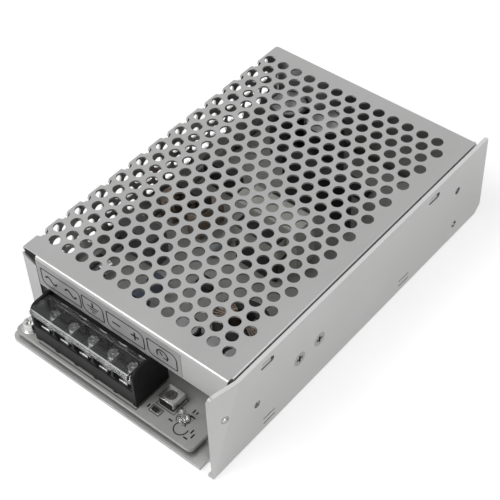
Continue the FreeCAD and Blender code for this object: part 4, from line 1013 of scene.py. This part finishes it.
@dataclass
class PerforatedCover:
    """The folded cover, drawn flat with its round holes and then bent.

    Flat coordinates are x across the top, running on down both sides, and y
    along the case, running on down the front flap and the rear.
    """

    half_width: float = 49.0
    right: float = 46.8
    front: float = -66.9
    rear: float = 75.4
    top: float = 38.0
    foot: float = 0.3
    gauge: float = 0.8
    bend: float = 1.2
    neutral: float = 0.85
    bend_steps: int = 6
    slack: float = 0.002
    hole_radius: float = 2.3
    hole_sides: int = 28
    pitch: float = 6.675
    row_pitch: float = 5.36
    rows: int = 24
    columns: int = 17
    first_x: float = 38.4
    first_y: float = -56.9
    flap_foot: float = 23.8
    flap_left: float = -41.6
    flap_lap: float = 0.4
    flange_front: float = -64.5
    flange_drop: float = 10.0
    flange_rear: float = 75.0
    tab_right: float = -42.0
    tab_foot: float = 4.8
    tab_high: float = 35.8
    tab_low: float = 33.0
    screw_places: tuple[Point, ...] = ((-34.5, 6.2), (45.5, 6.2))
    sink_radius: float = 2.95
    sink_depth: float = 1.45
    sink_over: float = 0.1
    boss_places: tuple[Point, ...] = ((-50.9, 33.55), (44.2, 33.55))
    boss_half: Point = (2.7, 0.75)
    boss_height: float = 1.8
    boss_root: float = 0.3
    boss_step: float = 0.25
    boss_taper: Point = (0.86, 0.97)

    def __post_init__(self) -> None:
        """Works out the flat places of the bends."""
        self.arc_length = self.neutral * math.pi / 2
        self.bend_left = -self.half_width + self.bend
        self.bend_right = self.right - self.bend
        self.bend_front = self.front + self.bend
        self.bend_rear = self.rear - self.bend
        self.side_top = self.bend_left - self.arc_length
        self.shoulder = self.top - self.bend

    def side_flat(self, z: float) -> float:
        """Flat x of a height on the left side."""
        return self.side_top - (self.shoulder - z)

    def cell(self) -> Shape:
        """One flat cell with a round hole, its long edges split in the middle.

        Returns:
            The cell about the origin, facing up.
        """
        shape = bmesh.new()
        sides = self.hole_sides
        wide, high = self.pitch / 2, self.row_pitch / 2
        edge = [(wide, high), (0, high), (-wide, high), (-wide, -high), (0, -high), (wide, -high)]
        corners, ring = (
            [shape.verts.new((x * MM, y * MM, 0)) for x, y in points]
            for points in (edge, circle(self.hole_radius, sides))
        )
        marks = []
        for x, y in edge:
            turn = math.atan2(y, x) % (2 * math.pi)
            marks.append(round(turn / (2 * math.pi) * sides) % sides)
        for index, mark in enumerate(marks):
            after = (index + 1) % len(marks)
            steps = (marks[after] - mark) % sides
            inner = [ring[(mark + step) % sides] for step in range(steps + 1)]
            shape.faces.new([corners[index], corners[after], *reversed(inner)])
        outward(shape)
        if shape.faces[:][0].normal.z < 0:
            bmesh.ops.reverse_faces(shape, faces=shape.faces)
        return shape

    @staticmethod
    def grid(xs: Sequence[float], ys: Sequence[float]) -> Shape:
        """Flat quads between lines.

        Args:
            xs: Lines across, from the left.
            ys: Lines along, from the front.

        Returns:
            The quads, facing up.
        """
        shape = bmesh.new()
        rows = [[shape.verts.new((x * MM, y * MM, 0)) for x in xs] for y in ys]
        for low, high in zip(rows, rows[1:]):
            for index in range(len(xs) - 1):
                shape.faces.new((low[index], low[index + 1], high[index + 1], high[index]))
        return shape

    def field(self, pattern: CellPattern, material: bpy.types.Material) -> list[Shape]:
        """The cells with their holes, every second row set half a pitch aside.

        Args:
            pattern: The tree that repeats the cells.
            material: Finish of the sheet.

        Returns:
            The odd and the even rows.
        """
        half = self.rows // 2
        fields = []
        for shift, count in ((0, self.columns), (1, self.columns - 1)):
            cells = pattern.run(
                self.cell(), material, Columns=count, Rows=half, Pitch=self.pitch * MM,
                Row_Pitch=2 * self.row_pitch * MM,
            )
            middle_x = self.first_x - shift * self.pitch / 2 - (count - 1) * self.pitch / 2
            middle_y = self.first_y + shift * self.row_pitch + (half - 1) * self.row_pitch
            fields.append(moved(cells, middle_x, middle_y, 0))
        return fields

    def margins(self) -> list[Shape]:
        """The plain sheet round the holes, with the flaps, the flange and the tab.

        Returns:
            Flat pieces whose edges meet the field's.
        """
        step = self.pitch / 2
        right = self.first_x + step
        left = right - self.columns * self.pitch
        low = self.first_y - self.row_pitch / 2
        rows = [low + index * self.row_pitch for index in range(self.rows + 1)]
        halves = [left + index * step for index in range(2 * self.columns + 1)]
        foot = self.side_flat(self.foot)
        whole = [foot, *halves, self.bend_right]
        outer = [x for x in halves if x < self.side_top]
        flap, rear = (
            [start, *(x for x in halves if x > start), self.bend_right]
            for start in (self.flap_left, self.bend_left)
        )
        flap_end = self.bend_front - self.arc_length - (self.shoulder - self.flap_foot)
        flange_end = self.bend_right + self.arc_length + self.flange_drop - self.bend
        rear_end = self.bend_rear + self.arc_length + self.shoulder - self.foot
        pieces = [
            self.grid((first, first + step), rows[index:index + 2])
            for index in range(1, self.rows, 2)
            for first in (left, right - step)
        ]
        pieces += [self.grid(xs, ys) for xs, ys in (
            ((foot, left), rows),
            ((right, self.bend_right), rows),
            (whole, (self.bend_front, low)),
            (whole, (rows[-1], self.bend_rear)),
            (flap, (flap_end, self.bend_front)),
            (
                (self.bend_right, self.bend_right + self.flap_lap),
                (flap_end, self.bend_front, self.flange_front),
            ),
            (
                (self.bend_right, flange_end),
                (self.flange_front, *rows, self.bend_rear, self.flange_rear),
            ),
            (rear, (self.bend_rear, rear_end)),
            ([foot, *outer, self.side_top], (self.bend_rear, self.rear)),
        )]
        return [*pieces, self.tab(outer)]

    def tab(self, lines: Sequence[float]) -> Shape:
        """The tab that folds round the front left corner.

        Args:
            lines: Flat x of the lines that it shares with the side.

        Returns:
            The flat tab.
        """
        reach = self.bend_front - self.arc_length - (self.tab_right - self.bend_left)
        high, low = self.side_flat(self.tab_high), self.side_flat(self.tab_low)
        foot = self.side_flat(self.tab_foot)
        shape = bmesh.new()
        points = [(foot, self.bend_front), (foot, reach), (low, reach), (high, self.bend_front)]
        shape.faces.new([shape.verts.new((x * MM, y * MM, 0)) for x, y in points])
        for line in lines:
            split(shape, Axis.X, line)
        return shape

    def flat(self, pattern: CellPattern, material: bpy.types.Material) -> Shape:
        """The whole flat sheet, split along the lines of its bends.

        Args:
            pattern: The tree that repeats the cells.
            material: Finish of the sheet.

        Returns:
            The sheet in flat coordinates.
        """
        sheet = joined([*self.field(pattern, material), *self.margins()])
        bmesh.ops.remove_doubles(sheet, verts=sheet.verts, dist=SHEET_WELD)
        across = [self.flap_left, self.side_flat(self.tab_high), self.side_flat(self.tab_foot)]
        along = [self.flange_front]
        for index in range(self.bend_steps + 1):
            part = self.arc_length * index / self.bend_steps
            across += [self.bend_left - part, self.bend_right + part]
            along += [self.bend_front - part, self.bend_rear + part]
        for axis, lines in ((Axis.X, across), (Axis.Y, along)):
            for line in lines:
                split(sheet, axis, line)
        bmesh.ops.remove_doubles(sheet, verts=sheet.verts, dist=SHEET_WELD)
        return sheet

    def fold(self, over: float) -> Point:
        """Reach and drop of a bend.

        Args:
            over: Flat distance past the start of the bend.

        Returns:
            Distance ahead of the bend's start, and down from the top face.
        """
        if over <= 0:
            return over, 0.0
        if over < self.arc_length:
            turn = over / self.neutral
            return self.bend * math.sin(turn), self.bend * (1 - math.cos(turn))
        return self.bend, self.bend + over - self.arc_length

    def bent(self, x: float, y: float) -> Vector:
        """The place of a flat point on the folded cover's outer face.

        Args:
            x: Flat distance across.
            y: Flat distance along.

        Returns:
            The place, in millimetres.
        """
        if x < self.bend_left - self.slack:
            reach, drop = self.fold(self.bend_left - x)
            side_x, side_y = self.bend_left - reach, y
            if y < self.bend_front - self.slack and x < self.side_top:
                ahead, inward = self.fold(self.bend_front - y)
                side_x, side_y = -self.half_width + inward, self.bend_front - ahead
            return Vector((side_x, side_y, self.top - drop))
        if x > self.bend_right + self.slack and y > self.flange_front - self.slack:
            reach, drop = self.fold(x - self.bend_right)
            return Vector((self.bend_right + reach, y, self.top - drop))
        if y < self.bend_front:
            reach, drop = self.fold(self.bend_front - y)
            return Vector((x, self.bend_front - reach, self.top - drop))
        if y > self.bend_rear:
            reach, drop = self.fold(y - self.bend_rear)
            return Vector((x, self.bend_rear + reach, self.top - drop))
        return Vector((x, y, self.top))

    def sinks(self) -> bpy.types.Object:
        """Cones that are cut from the left side for the flush screws.

        Returns:
            The cones, an object to be removed after the cut.
        """
        radius, depth, over = self.sink_radius, self.sink_depth, self.sink_over
        profile = [(0, -over), (radius + over, -over), (radius - depth, depth), (0, depth)]
        cones = [
            moved(swung(turned(profile, 32), Axis.Y, 90), -self.half_width, y, z)
            for y, z in self.screw_places
        ]
        return make_object(joined(cones), "sinks")

    def bosses(self) -> Shape:
        """Pressed bosses on the right flange, each with a stepped top.

        Returns:
            Both bosses.
        """
        half, step = self.boss_half, self.boss_height - self.boss_step
        wide = rounded_box((-half[1], -half[0]), half[::-1], (half[1],) * 4)
        narrow = [(x * self.boss_taper[0], y * self.boss_taper[1]) for x, y in wide]
        return joined(
            moved(swung(prism(outline, low, high), Axis.Y, 90), self.right, y, z)
            for y, z in self.boss_places
            for outline, low, high in (
                (wide, -self.boss_root, step), (narrow, step, self.boss_height)
            )
        )

    def build(self, pattern: CellPattern, paint: Paint) -> None:
        """Makes the cover and its bosses.

        Args:
            pattern: The tree that repeats the cells.
            paint: The finishes.
        """
        sheet = self.flat(pattern, paint["cover"])
        for vertex in sheet.verts:
            vertex.co = self.bent(vertex.co.x / MM, vertex.co.y / MM) * MM
        item = make_object(sheet, "mesh_cover", SHARP_METAL)
        wall = item.modifiers.new("gauge", "SOLIDIFY")
        wall.thickness = self.gauge * MM
        wall.offset = -1.0
        wall.use_even_offset = True
        sinks = self.sinks()
        cut = item.modifiers.new("sinks", "BOOLEAN")
        cut.object = sinks
        cut.solver = "EXACT"
        settle(item)
        smooth(item.data, SHARP_METAL)
        bpy.data.objects.remove(sinks)
        settle_level(item)
        place(item, CASE_BODY, "cover", paint["cover"])
        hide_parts("perforated_cover")
        add_piece(self.bosses(), "lock_bosses", "cover", paint["cover"], SHARP_METAL)


class Print:
    """Ink lines laid on a flat face."""

    NAME: str
    SLOT: str

    def strokes(self) -> list[Shape]:
        """Every ink line, drawn flat."""
        raise NotImplementedError

    def laid(self, point: Vector) -> Vector:
        """The place of a drawn point on its face, in metres."""
        raise NotImplementedError

    def build(self, paint: Paint) -> None:
        """Makes the ink and lays it on its face.

        Args:
            paint: The finishes.
        """
        shape = joined(self.strokes())
        for vertex in shape.verts:
            vertex.co = self.laid(vertex.co)
        add_piece(outward(shape), self.NAME, self.SLOT, paint["ink"], SHARP_METAL)


@dataclass
class FlapLabel(Print):
    """Outlined fields on the sticker of the front flap, with plain signs."""

    NAME = "label_print"
    SLOT = "label"

    face: float = -67.02
    low: float = 26.1
    high: float = 33.8
    line: float = 0.55
    sign: float = 0.85
    medium: float = 0.68
    light: float = 0.595
    fields: tuple[Point, ...] = ((-39.5, -20.5), (-19.5, -9.5), (-7.7, 9.3), (11.0, 24.0))
    wide_corner: float = 2.6
    corner: float = 0.6
    wave_shift: float = 4.8
    wave_half: float = 2.8
    wave_height: float = 1.2
    wave_steps: int = 16
    earth_foot: float = 0.4
    earth_top: float = 2.8
    earth_gap: float = 1.25
    earth_halves: tuple[float, ...] = (2.6, 1.7, 0.8)
    pole_inset: float = 4.2
    pole_half: float = 1.9
    dial_radius: float = 2.4
    dial_drop: float = 0.4

    def strokes(self) -> list[Shape]:
        """Every ink line, in x and z.

        Returns:
            The outlines of the fields, then their signs.
        """
        corners = (self.wide_corner, self.corner, self.wide_corner, self.corner)
        lines = [
            ribbon(rounded_box((left, self.low), (right, self.high), corners), self.line, True)
            for left, right in self.fields
        ]
        middle = (self.low + self.high) / 2
        centres = [(left + right) / 2 for left, right in self.fields]
        lines += self.waves(centres[0], middle) + self.ground(centres[1], middle)
        lines += self.polarity(self.fields[2], middle) + self.adjust(centres[3], middle)
        return lines

    def waves(self, x: float, z: float) -> list[Shape]:
        """Two alternating current waves.

        Args:
            x: Middle of the field.
            z: Middle of the field.

        Returns:
            The waves.
        """
        steps, half = self.wave_steps, self.wave_half
        curve = [
            (2 * half * step / steps, self.wave_height * math.sin(2 * math.pi * step / steps))
            for step in range(steps + 1)
        ]
        return [
            ribbon([(x + shift - half + along, z + up) for along, up in curve], self.sign)
            for shift in (-self.wave_shift, self.wave_shift)
        ]

    def ground(self, x: float, z: float) -> list[Shape]:
        """Earth sign: a stem over three shrinking bars.

        Args:
            x: Middle of the field.
            z: Middle of the field.

        Returns:
            The stem and the bars.
        """
        lines = [ribbon([(x, z + self.earth_top), (x, z + self.earth_foot)], self.sign)]
        for index, half in enumerate(self.earth_halves):
            height = z + self.earth_foot - self.earth_gap * index
            lines.append(ribbon([(x - half, height), (x + half, height)], self.light))
        return lines

    def polarity(self, field: Point, z: float) -> list[Shape]:
        """Minus and plus signs.

        Args:
            field: Left and right end of the field.
            z: Middle of the field.

        Returns:
            The three bars.
        """
        left, right, half = field[0] + self.pole_inset, field[1] - self.pole_inset, self.pole_half
        bars = [((left - half, z), (left + half, z)), ((right - half, z), (right + half, z)),
                ((right, z - half), (right, z + half))]
        return [ribbon(bar, self.sign) for bar in bars]

    def adjust(self, x: float, z: float) -> list[Shape]:
        """A dial with a turning arrow.

        Args:
            x: Middle of the field.
            z: Middle of the field.

        Returns:
            The ring, its arrow head and the hand.
        """
        ring = arc(x, z - self.dial_drop, self.dial_radius, 210, -30, 14)
        head = [(x + 0.5, z - 1.2), (x + 2.08, z - 1.6), (x + 2.7, z - 0.1)]
        hand = [(x, z - 0.6), (x - 1.0, z + 0.9)]
        return [ribbon(ring, self.medium), ribbon(head, self.light), ribbon(hand, self.medium)]

    def laid(self, point: Vector) -> Vector:
        """The place of a drawn point on the flap, in metres."""
        return Vector((point.x, self.face * MM - point.z, point.y))


@dataclass
class BoardPrint(Print):
    """Screened outlines and plain marks on the board's front tongue."""

    NAME = "board_print"
    SLOT = "board"

    top: float = 4.5
    line: float = 0.28
    edge_line: float = 0.35
    dial_line: float = 0.45
    mark_line: float = 0.6
    corner: float = 0.2
    block_edge: tuple[Point, ...] = ((-36.5, -76.75), (11.4, -76.75), (11.4, -61.0))
    dial: Point = (28.7, -73.0)
    dial_radius: float = 2.6
    frames: tuple[tuple[float, ...], ...] = ((19.0, -66.5, 4.1, 3.9), (17.0, -72.7, 2.3, 1.4))
    lamp: Point = (26.8, -69.6)
    lamp_ring: float = 2.5
    marks: tuple[tuple[float, float, float, Axis], ...] = (
        (27.6, -64.9, 1.6, Axis.Y), (29.0, -64.9, 1.2, Axis.Y), (28.8, -67.0, 2.2, Axis.X),
        (32.6, -71.6, 1.8, Axis.Y), (33.9, -72.9, 2.0, Axis.Y), (32.4, -75.0, 1.8, Axis.X),
        (23.6, -66.9, 1.5, Axis.Y), (23.6, -72.6, 1.8, Axis.X), (13.6, -72.7, 1.6, Axis.Y),
    )

    def strokes(self) -> list[Shape]:
        """Every ink line, in x and y.

        Returns:
            The block's edge, the dial, the frames, the lamp's ring and the marks.
        """
        lines = [ribbon(self.block_edge, self.edge_line)]
        ring = arc(*self.dial, self.dial_radius, 100, 380, 20)
        x, y = ring[0]
        head = [(x + 1.3, y + 1.1), (x, y), (x + 1.2, y - 1.2)]
        lines += [ribbon(ring, self.dial_line), ribbon(head, self.dial_line)]
        for x, y, half_x, half_y in self.frames:
            low, high = (x - half_x, y - half_y), (x + half_x, y + half_y)
            lines.append(ribbon(rounded_box(low, high, (self.corner,) * 4), self.line, True))
        lines.append(ribbon(arc(*self.lamp, self.lamp_ring, -60, 240, 20), self.line))
        for x, y, long, along in self.marks:
            half = (long / 2, 0.0) if along is Axis.X else (0.0, long / 2)
            ends = [(x + side * half[0], y + side * half[1]) for side in (-1, 1)]
            lines.append(ribbon(ends, self.mark_line))
        return lines

    def laid(self, point: Vector) -> Vector:
        """The place of a drawn point on the board, in metres."""
        return point + Vector((0, 0, self.top * MM))


@dataclass
class RoundLamp:
    """Clear lamp with a domed end, two posts and a cup inside."""

    x: float = 26.8
    y: float = -69.6
    foot: float = 4.5
    radius: float = 1.5
    height: float = 3.6
    flange: float = 1.85
    flange_height: float = 0.9
    corner: float = 0.1
    fillet: float = 0.05
    dome_steps: int = 8
    post_shift: float = 0.55
    post_foot: float = 0.05
    posts: tuple[Point, ...] = ((2.8, 0.28), (2.2, 0.22))
    cup_width: float = 1.8
    cup_height: float = 0.4
    cup_hollow: float = 0.05

    def build(self, paint: Paint) -> None:
        """Makes the lens and its leads.

        Args:
            paint: The finishes.
        """
        rim, top, corner = self.flange, self.flange_height, self.corner
        profile = [
            (0, 0), (rim - corner, 0), (rim, corner), (rim, top - corner), (rim - corner, top),
            (self.radius + self.fillet, top), (self.radius, top + corner),
            *arc(0, self.height, self.radius, 0, 90, self.dome_steps),
        ]
        lens = moved(turned(profile, 40), self.x, self.y, self.foot)
        add_piece(lens, "lamp_lens", "lamp", paint["lamp"], SHARP_TURNED, "led_indicator")
        posts = []
        for side, (high, wide) in zip((-1, 1), self.posts):
            low, rim = self.post_foot, high + self.cup_height
            cup = [(wide * self.cup_width, rim), (0, rim - self.cup_hollow)]
            post = turned([(0, low), (wide, low), (wide, high), *cup], 12)
            posts.append(moved(post, self.x + self.post_shift * side, self.y, self.foot))
        add_piece(joined(posts), "lamp_leads", "zinc", paint["tin"], SHARP_TURNED)


@dataclass
class RingCoil:
    """Two groups of turns round a ring core that lies flat."""

    x: float = 20.0
    y: float = -30.0
    inner: float = 5.0
    outer: float = 10.0
    foot: float = 5.7
    top: float = 14.7
    gap: float = 0.1
    radius: float = 0.5
    corner: float = 1.0
    turns: int = 9
    sweep: float = 58.0

    def build(self, pattern: CellPattern, paint: Paint) -> None:
        """Makes the turns.

        Args:
            pattern: The tree that repeats a turn.
            paint: The finishes.
        """
        off = self.gap + self.radius
        loop = rounded_box(
            (self.inner - off, self.foot - off), (self.outer + off, self.top + off),
            (self.corner,) * 4,
        )
        step = math.radians(self.sweep / (self.turns - 1))
        sides = []
        for middle in (0, 180):
            turn = wire([(x, 0.0, z) for x, z in loop], self.radius)
            coil = pattern.run(turn, paint["copper"], Columns=self.turns, Turn=step)
            sides.append(moved(swung(coil, Axis.Z, middle - self.sweep / 2), self.x, self.y, 0))
        add_piece(
            joined(sides), "output_choke_turns", "copper", paint["copper"], SHARP_WIRE,
            "output_choke_winding",
        )


@dataclass
class LegCoils:
    """Turns stacked up both legs of a standing core, over their coil blocks."""

    x: float = -34.0
    y: float = 4.0
    spread: float = 7.0
    half: Point = (3.2, 7.0)
    corner: float = 1.2
    foot: float = 4.9
    radius: float = 0.34
    turns: int = 17
    rise: float = 0.7

    def build(self, pattern: CellPattern, paint: Paint) -> None:
        """Makes the turns.

        Args:
            pattern: The tree that repeats a turn.
            paint: The finishes.
        """
        loop = rounded_box((-self.half[0], -self.half[1]), self.half, (self.corner,) * 4)
        sides = []
        for side in (-1, 1):
            turn = wire([(x, y, 0.0) for x, y in loop], self.radius)
            coil = pattern.run(turn, paint["copper"], Columns=self.turns, Rise=self.rise * MM)
            sides.append(moved(coil, self.x + side * self.spread, self.y, self.foot))
        add_piece(joined(sides), "input_choke_turns", "copper", paint["copper"], SHARP_WIRE)


@dataclass
class TubeFuse:
    """Glass tube with two plated caps and a thin wire."""

    x: float = -41.0
    y: float = -45.0
    z: float = 7.1
    radius: float = 2.6
    half: float = 10.0
    cap: float = 5.0
    glass: float = 0.5
    cap_wall: float = 0.2
    cap_end: float = 0.6
    cap_round: float = 0.3
    mouth_round: float = 0.2
    mouth_lip: float = 0.15
    wire: float = 0.15

    def build(self, paint: Paint) -> None:
        """Makes the tube, the caps and the wire.

        Args:
            paint: The finishes.
        """
        radius, half, lip = self.radius, self.half, self.cap_round
        skin, end, inside = radius - self.cap_wall, half - self.cap_end, half - self.cap
        bore = skin - self.glass
        tube = turned([(bore, -end), (skin, -end), (skin, end), (bore, end), (bore, -end)], 32)
        parts = []
        for side in (-1, 1):
            profile = [
                (0, half), (radius - lip, half), (radius, half - lip),
                (radius, inside + self.mouth_round), (radius - self.mouth_lip, inside), (0, inside),
            ]
            parts.append(turned([(across, side * along) for across, along in profile], 32))
        wire_radius = self.wire
        parts.append(
            turned([(0, -inside), (wire_radius, -inside), (wire_radius, inside), (0, inside)], 10)
        )
        for name, shape, slot, finish, node in (
            ("fuse_tube", tube, "fuse_glass", "glass", "fuse"),
            ("fuse_caps", joined(parts), "zinc", "tin", ""),
        ):
            shape = moved(swung(shape, Axis.X, 90), self.x, self.y, self.z)
            add_piece(shape, name, slot, paint[finish], SHARP_TURNED, node)


@dataclass
class ChipEnds:
    """Tinned ends of the small chip resistor."""

    x: float = 17.0
    y: float = -72.7
    foot: float = 4.5
    half: Point = (1.62, 0.82)
    height: float = 0.64
    band: float = 0.5
    corner: float = 0.1

    def build(self, paint: Paint) -> None:
        """Makes both ends.

        Args:
            paint: The finishes.
        """
        ends = []
        for side in (-1, 1):
            near, far = sorted((side * self.half[0], side * (self.half[0] - self.band)))
            outline = rounded_box((near, -self.half[1]), (far, self.half[1]), (self.corner,) * 4)
            ends.append(moved(prism(outline, 0, self.height), self.x, self.y, self.foot))
        add_piece(joined(ends), "chip_ends", "zinc", paint["tin"])


@dataclass
class SleevedCan:
    """Electrolytic can: rolled edges, shrunk sleeve and a scored top."""

    node: str
    x: float
    y: float
    radius: float
    height: float
    foot: float = 4.5
    edge: float = 0.7
    ease: float = 0.2
    groove: float = 0.45
    groove_heights: tuple[float, ...] = (2.2, 2.8, 3.1, 3.7)
    sunk: float = 0.25
    disc: Point = (0.2, 0.1)
    score: float = 0.3
    score_reach: float = 0.8
    score_turns: tuple[int, ...] = (90, 210, 330)

    def build(self, paint: Paint) -> None:
        """Makes the sleeve and the bare metal top.

        Args:
            paint: The finishes.
        """
        radius, high, edge, neck = self.radius, self.height, self.edge, self.radius - self.groove
        first, second, third, fourth = self.groove_heights
        ease, sunk = self.ease, high - self.sunk
        profile = [
            (0, ease), (radius - edge, 0), (radius - ease / 2, 0.3), (radius, 0.6),
            (radius, first), (neck, second), (neck, third), (radius, fourth),
            (radius, high - edge), (radius - ease, high - ease), (radius - edge, high),
            (radius - 1.5 * edge, high), (radius - 1.6 * edge, sunk), (0, sunk),
        ]
        sleeve = moved(turned(profile), self.x, self.y, self.foot)
        name, finish = self.node + "_sleeve", paint["sleeve"]
        add_piece(sleeve, name, "capacitor_can", finish, node=self.node)
        inner = radius - 1.7 * edge
        low, face = (high - depth for depth in self.disc)
        disc = turned([(0, low), (inner, low), (inner, face), (0, face)])
        top = [moved(disc, self.x, self.y, self.foot)]
        for turn in self.score_turns:
            tip = arc(self.x, self.y, self.score_reach * inner, turn, turn, 1)[0]
            score = ribbon([(self.x, self.y), tip], self.score)
            top.append(moved(score, 0, 0, self.foot + face))
        add_piece(joined(top), self.node + "_top", "chassis", paint["can"])


class Electronics:
    """Nodes whose own shape stays or only has its edges eased, with their finishes."""

    KEPT = {
        "insulation_sheet": "film",
        "insulating_pad": "pad",
        "output_rectifier": "resin",
        "switching_transistor": "resin",
        "transformer_winding": "tape",
        "input_choke_winding": "coil",
        "y_capacitor": "blue",
        "thermistor": "green",
        "snubber_resistor": "resistor",
        "chip_resistor": "resin",
        "terminal_label": "label",
    }
    EASED = (
        # the base's wall tops get the sheared edge with its painted highlight
        Eased("base_chassis", "chassis", "chassis", width=0.2, sheared=True),
        Eased("circuit_board", "board", "board", width=0.08),
        Eased("terminal_block", "black_plastic", "block", width=0.2),
        Eased("terminal_cover", "clear_plastic", "clear", body="lid", width=0.1),
        Eased("board_screws", "zinc", "zinc"),
        Eased("board_flat_washer", "zinc", "zinc"),
        Eased("board_split_washer", "zinc", "zinc"),
        Eased("wall_screws", "zinc", "head", width=0.3, segments=3),
        Eased("cover_screws", "dark_screw", "black_zinc", width=0.08),
        Eased("trimmer_base", "trimmer_plastic", "block", width=0.1),
        Eased("trimmer_frame", "zinc", "tin", width=0.08),
        Eased("trimmer_rotor", "rotor_metal", "rotor", body="rotor", width=0.08),
        Eased("transformer_core", "ferrite", "tape", width=0.4),
        Eased("transformer_bobbin", "bobbin", "bobbin", width=0.2),
        Eased("output_choke_core", "ferrite", "ferrite", width=0.8, segments=3),
        Eased("input_choke_core", "ferrite", "ferrite", width=0.4),
        Eased("heat_sink", "chassis", "anodised", width=0.15),
        Eased("x_capacitor", "film_box", "box", width=0.6, segments=3),
        Eased("bridge_rectifier", "package", "resin", width=0.4),
        Eased("optocoupler", "package", "resin", width=0.25),
        Eased("controller_chip", "package", "resin", width=0.25),
    )
    TERMINALS = 5

    def build(self, frame: dict, paint: Paint) -> None:
        """Eases the edges of most nodes, and gives the rest their finishes.

        Args:
            frame: The loaded frame.
            paint: The finishes.
        """
        for name, item in frame["nodes"].items():
            for start, key in self.KEPT.items():
                if name.startswith(start):
                    for slot in item.material_slots:
                        slot.material = paint[key]
        pieces = [*self.EASED]
        for number in range(1, self.TERMINALS + 1):
            pieces += [
                Eased(f"terminal_plate_{number}", "terminal_metal", "tin", width=0.1),
                Eased(f"clamp_washer_{number}", "zinc", "zinc", f"clamp_{number}"),
                Eased(f"terminal_screw_{number}", "zinc", "zinc", f"screw_{number}"),
            ]
        for piece in pieces:
            piece.build(frame, paint)


@dataclass
class Camera:
    """The photographed view."""

    place: Triple = (215.95, -242.68, 360.85)
    turn: Triple = (42.941, 1.931, 39.777)
    lens: float = 92.156
    sensor: float = 36.0
    nearest: float = 10.0
    furthest: float = 20000.0

    def build(self) -> None:
        """Makes the camera and sets it."""
        data = bpy.data.cameras.new("camera")
        data.lens = self.lens
        data.sensor_width = self.sensor
        data.clip_start = self.nearest * MM
        data.clip_end = self.furthest * MM
        item = bpy.data.objects.new("camera", data)
        item.location = Vector(self.place) * MM
        item.rotation_euler = [math.radians(angle) for angle in self.turn]
        bpy.context.scene.collection.objects.link(item)
        bpy.context.scene.camera = item


@dataclass
class Studio:
    """Pale floor, soft lamps and an even world, with its lengths in metres."""

    floor_reach: float = 3.0
    world_light: float = 0.36
    mirrored: float = 0.5
    floor_glow: float = 0.46
    lamps: tuple[tuple[Triple, float, float], ...] = (
        ((-0.55, -0.85, 1.25), 1.0, 8.5),
        ((1.15, 0.25, 0.75), 0.9, 3.0),
    )

    def build(self) -> None:
        """Makes the floor, the lamps and the world."""
        shape = bmesh.new()
        bmesh.ops.create_grid(shape, x_segments=1, y_segments=1, size=self.floor_reach)
        floor = make_object(shape, "floor")
        floor.data.materials.append(self.floor_paint())
        for index, (spot, size, power) in enumerate(self.lamps):
            data = bpy.data.lights.new(f"lamp_{index}", "AREA")
            data.energy = power
            data.size = size
            data.shape = "SQUARE"
            lamp = bpy.data.objects.new(f"lamp_{index}", data)
            lamp.location = spot
            lamp.rotation_euler = (-Vector(spot)).to_track_quat("-Z", "Y").to_euler()
            bpy.context.scene.collection.objects.link(lamp)
        self.world()
        bpy.context.scene.view_settings.view_transform = "Standard"

    def world(self) -> None:
        """Makes an even world, white to the camera."""
        world = bpy.data.worlds.new("studio")
        world.use_nodes = True
        sky = Nodes(world.node_tree)
        share = sky.white_share(self.mirrored)
        sockets = {
            "Color": (1.0,) * 4, "Strength": share * (1 - self.world_light) + self.world_light
        }
        light = sky.node("ShaderNodeBackground", {}, sockets)
        sky.node("ShaderNodeOutputWorld", {}, {0: light.outputs[0]})
        bpy.context.scene.world = world

    def floor_paint(self) -> bpy.types.Material:
        """White paper that keeps the object's shadow.

        Returns:
            The material.
        """
        shader = Shader("paper")
        grain = shader.noise(0.05)
        glow = shader.blend(shader.white_share(self.mirrored), (0, 0, 0), (self.floor_glow,) * 3)
        shader.dress(
            Base_Color=shader.blend(grain, (0.93,) * 3, (0.97,) * 3), Roughness=0.9,
            Emission_Color=glow, Emission_Strength=1.0, Specular_IOR_Level=0.0,
        )
        return shader.material


def build_part(frame: dict) -> None:
    """Makes every visible piece.

    Args:
        frame: The loaded frame.
    """
    paint = Paint()
    pattern = CellPattern()
    PerforatedCover().build(pattern, paint)
    for detail in (FlapLabel(), BoardPrint(), RoundLamp()):
        detail.build(paint)
    for coils in (RingCoil(), LegCoils()):
        coils.build(pattern, paint)
    cans = [
        SleevedCan(f"bulk_capacitor_{index}", x, 57.0, 8.0, 26.0)
        for index, x in enumerate((-28.0, -10.5), 1)
    ]
    cans += [
        SleevedCan(f"output_capacitor_{index}", x, -50.5, 5.0, 21.0, edge=0.5)
        for index, x in enumerate((13.0, 24.0, 35.0), 1)
    ]
    for detail in (TubeFuse(), ChipEnds(), *cans):
        detail.build(paint)
    Electronics().build(frame, paint)


def main() -> None:
    """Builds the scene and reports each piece."""
    logging.basicConfig(level=logging.INFO, format="%(name)s %(message)s")
    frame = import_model()
    Camera().build()
    build_part(frame)
    Studio().build()


if __name__ == "__main__":
    main()
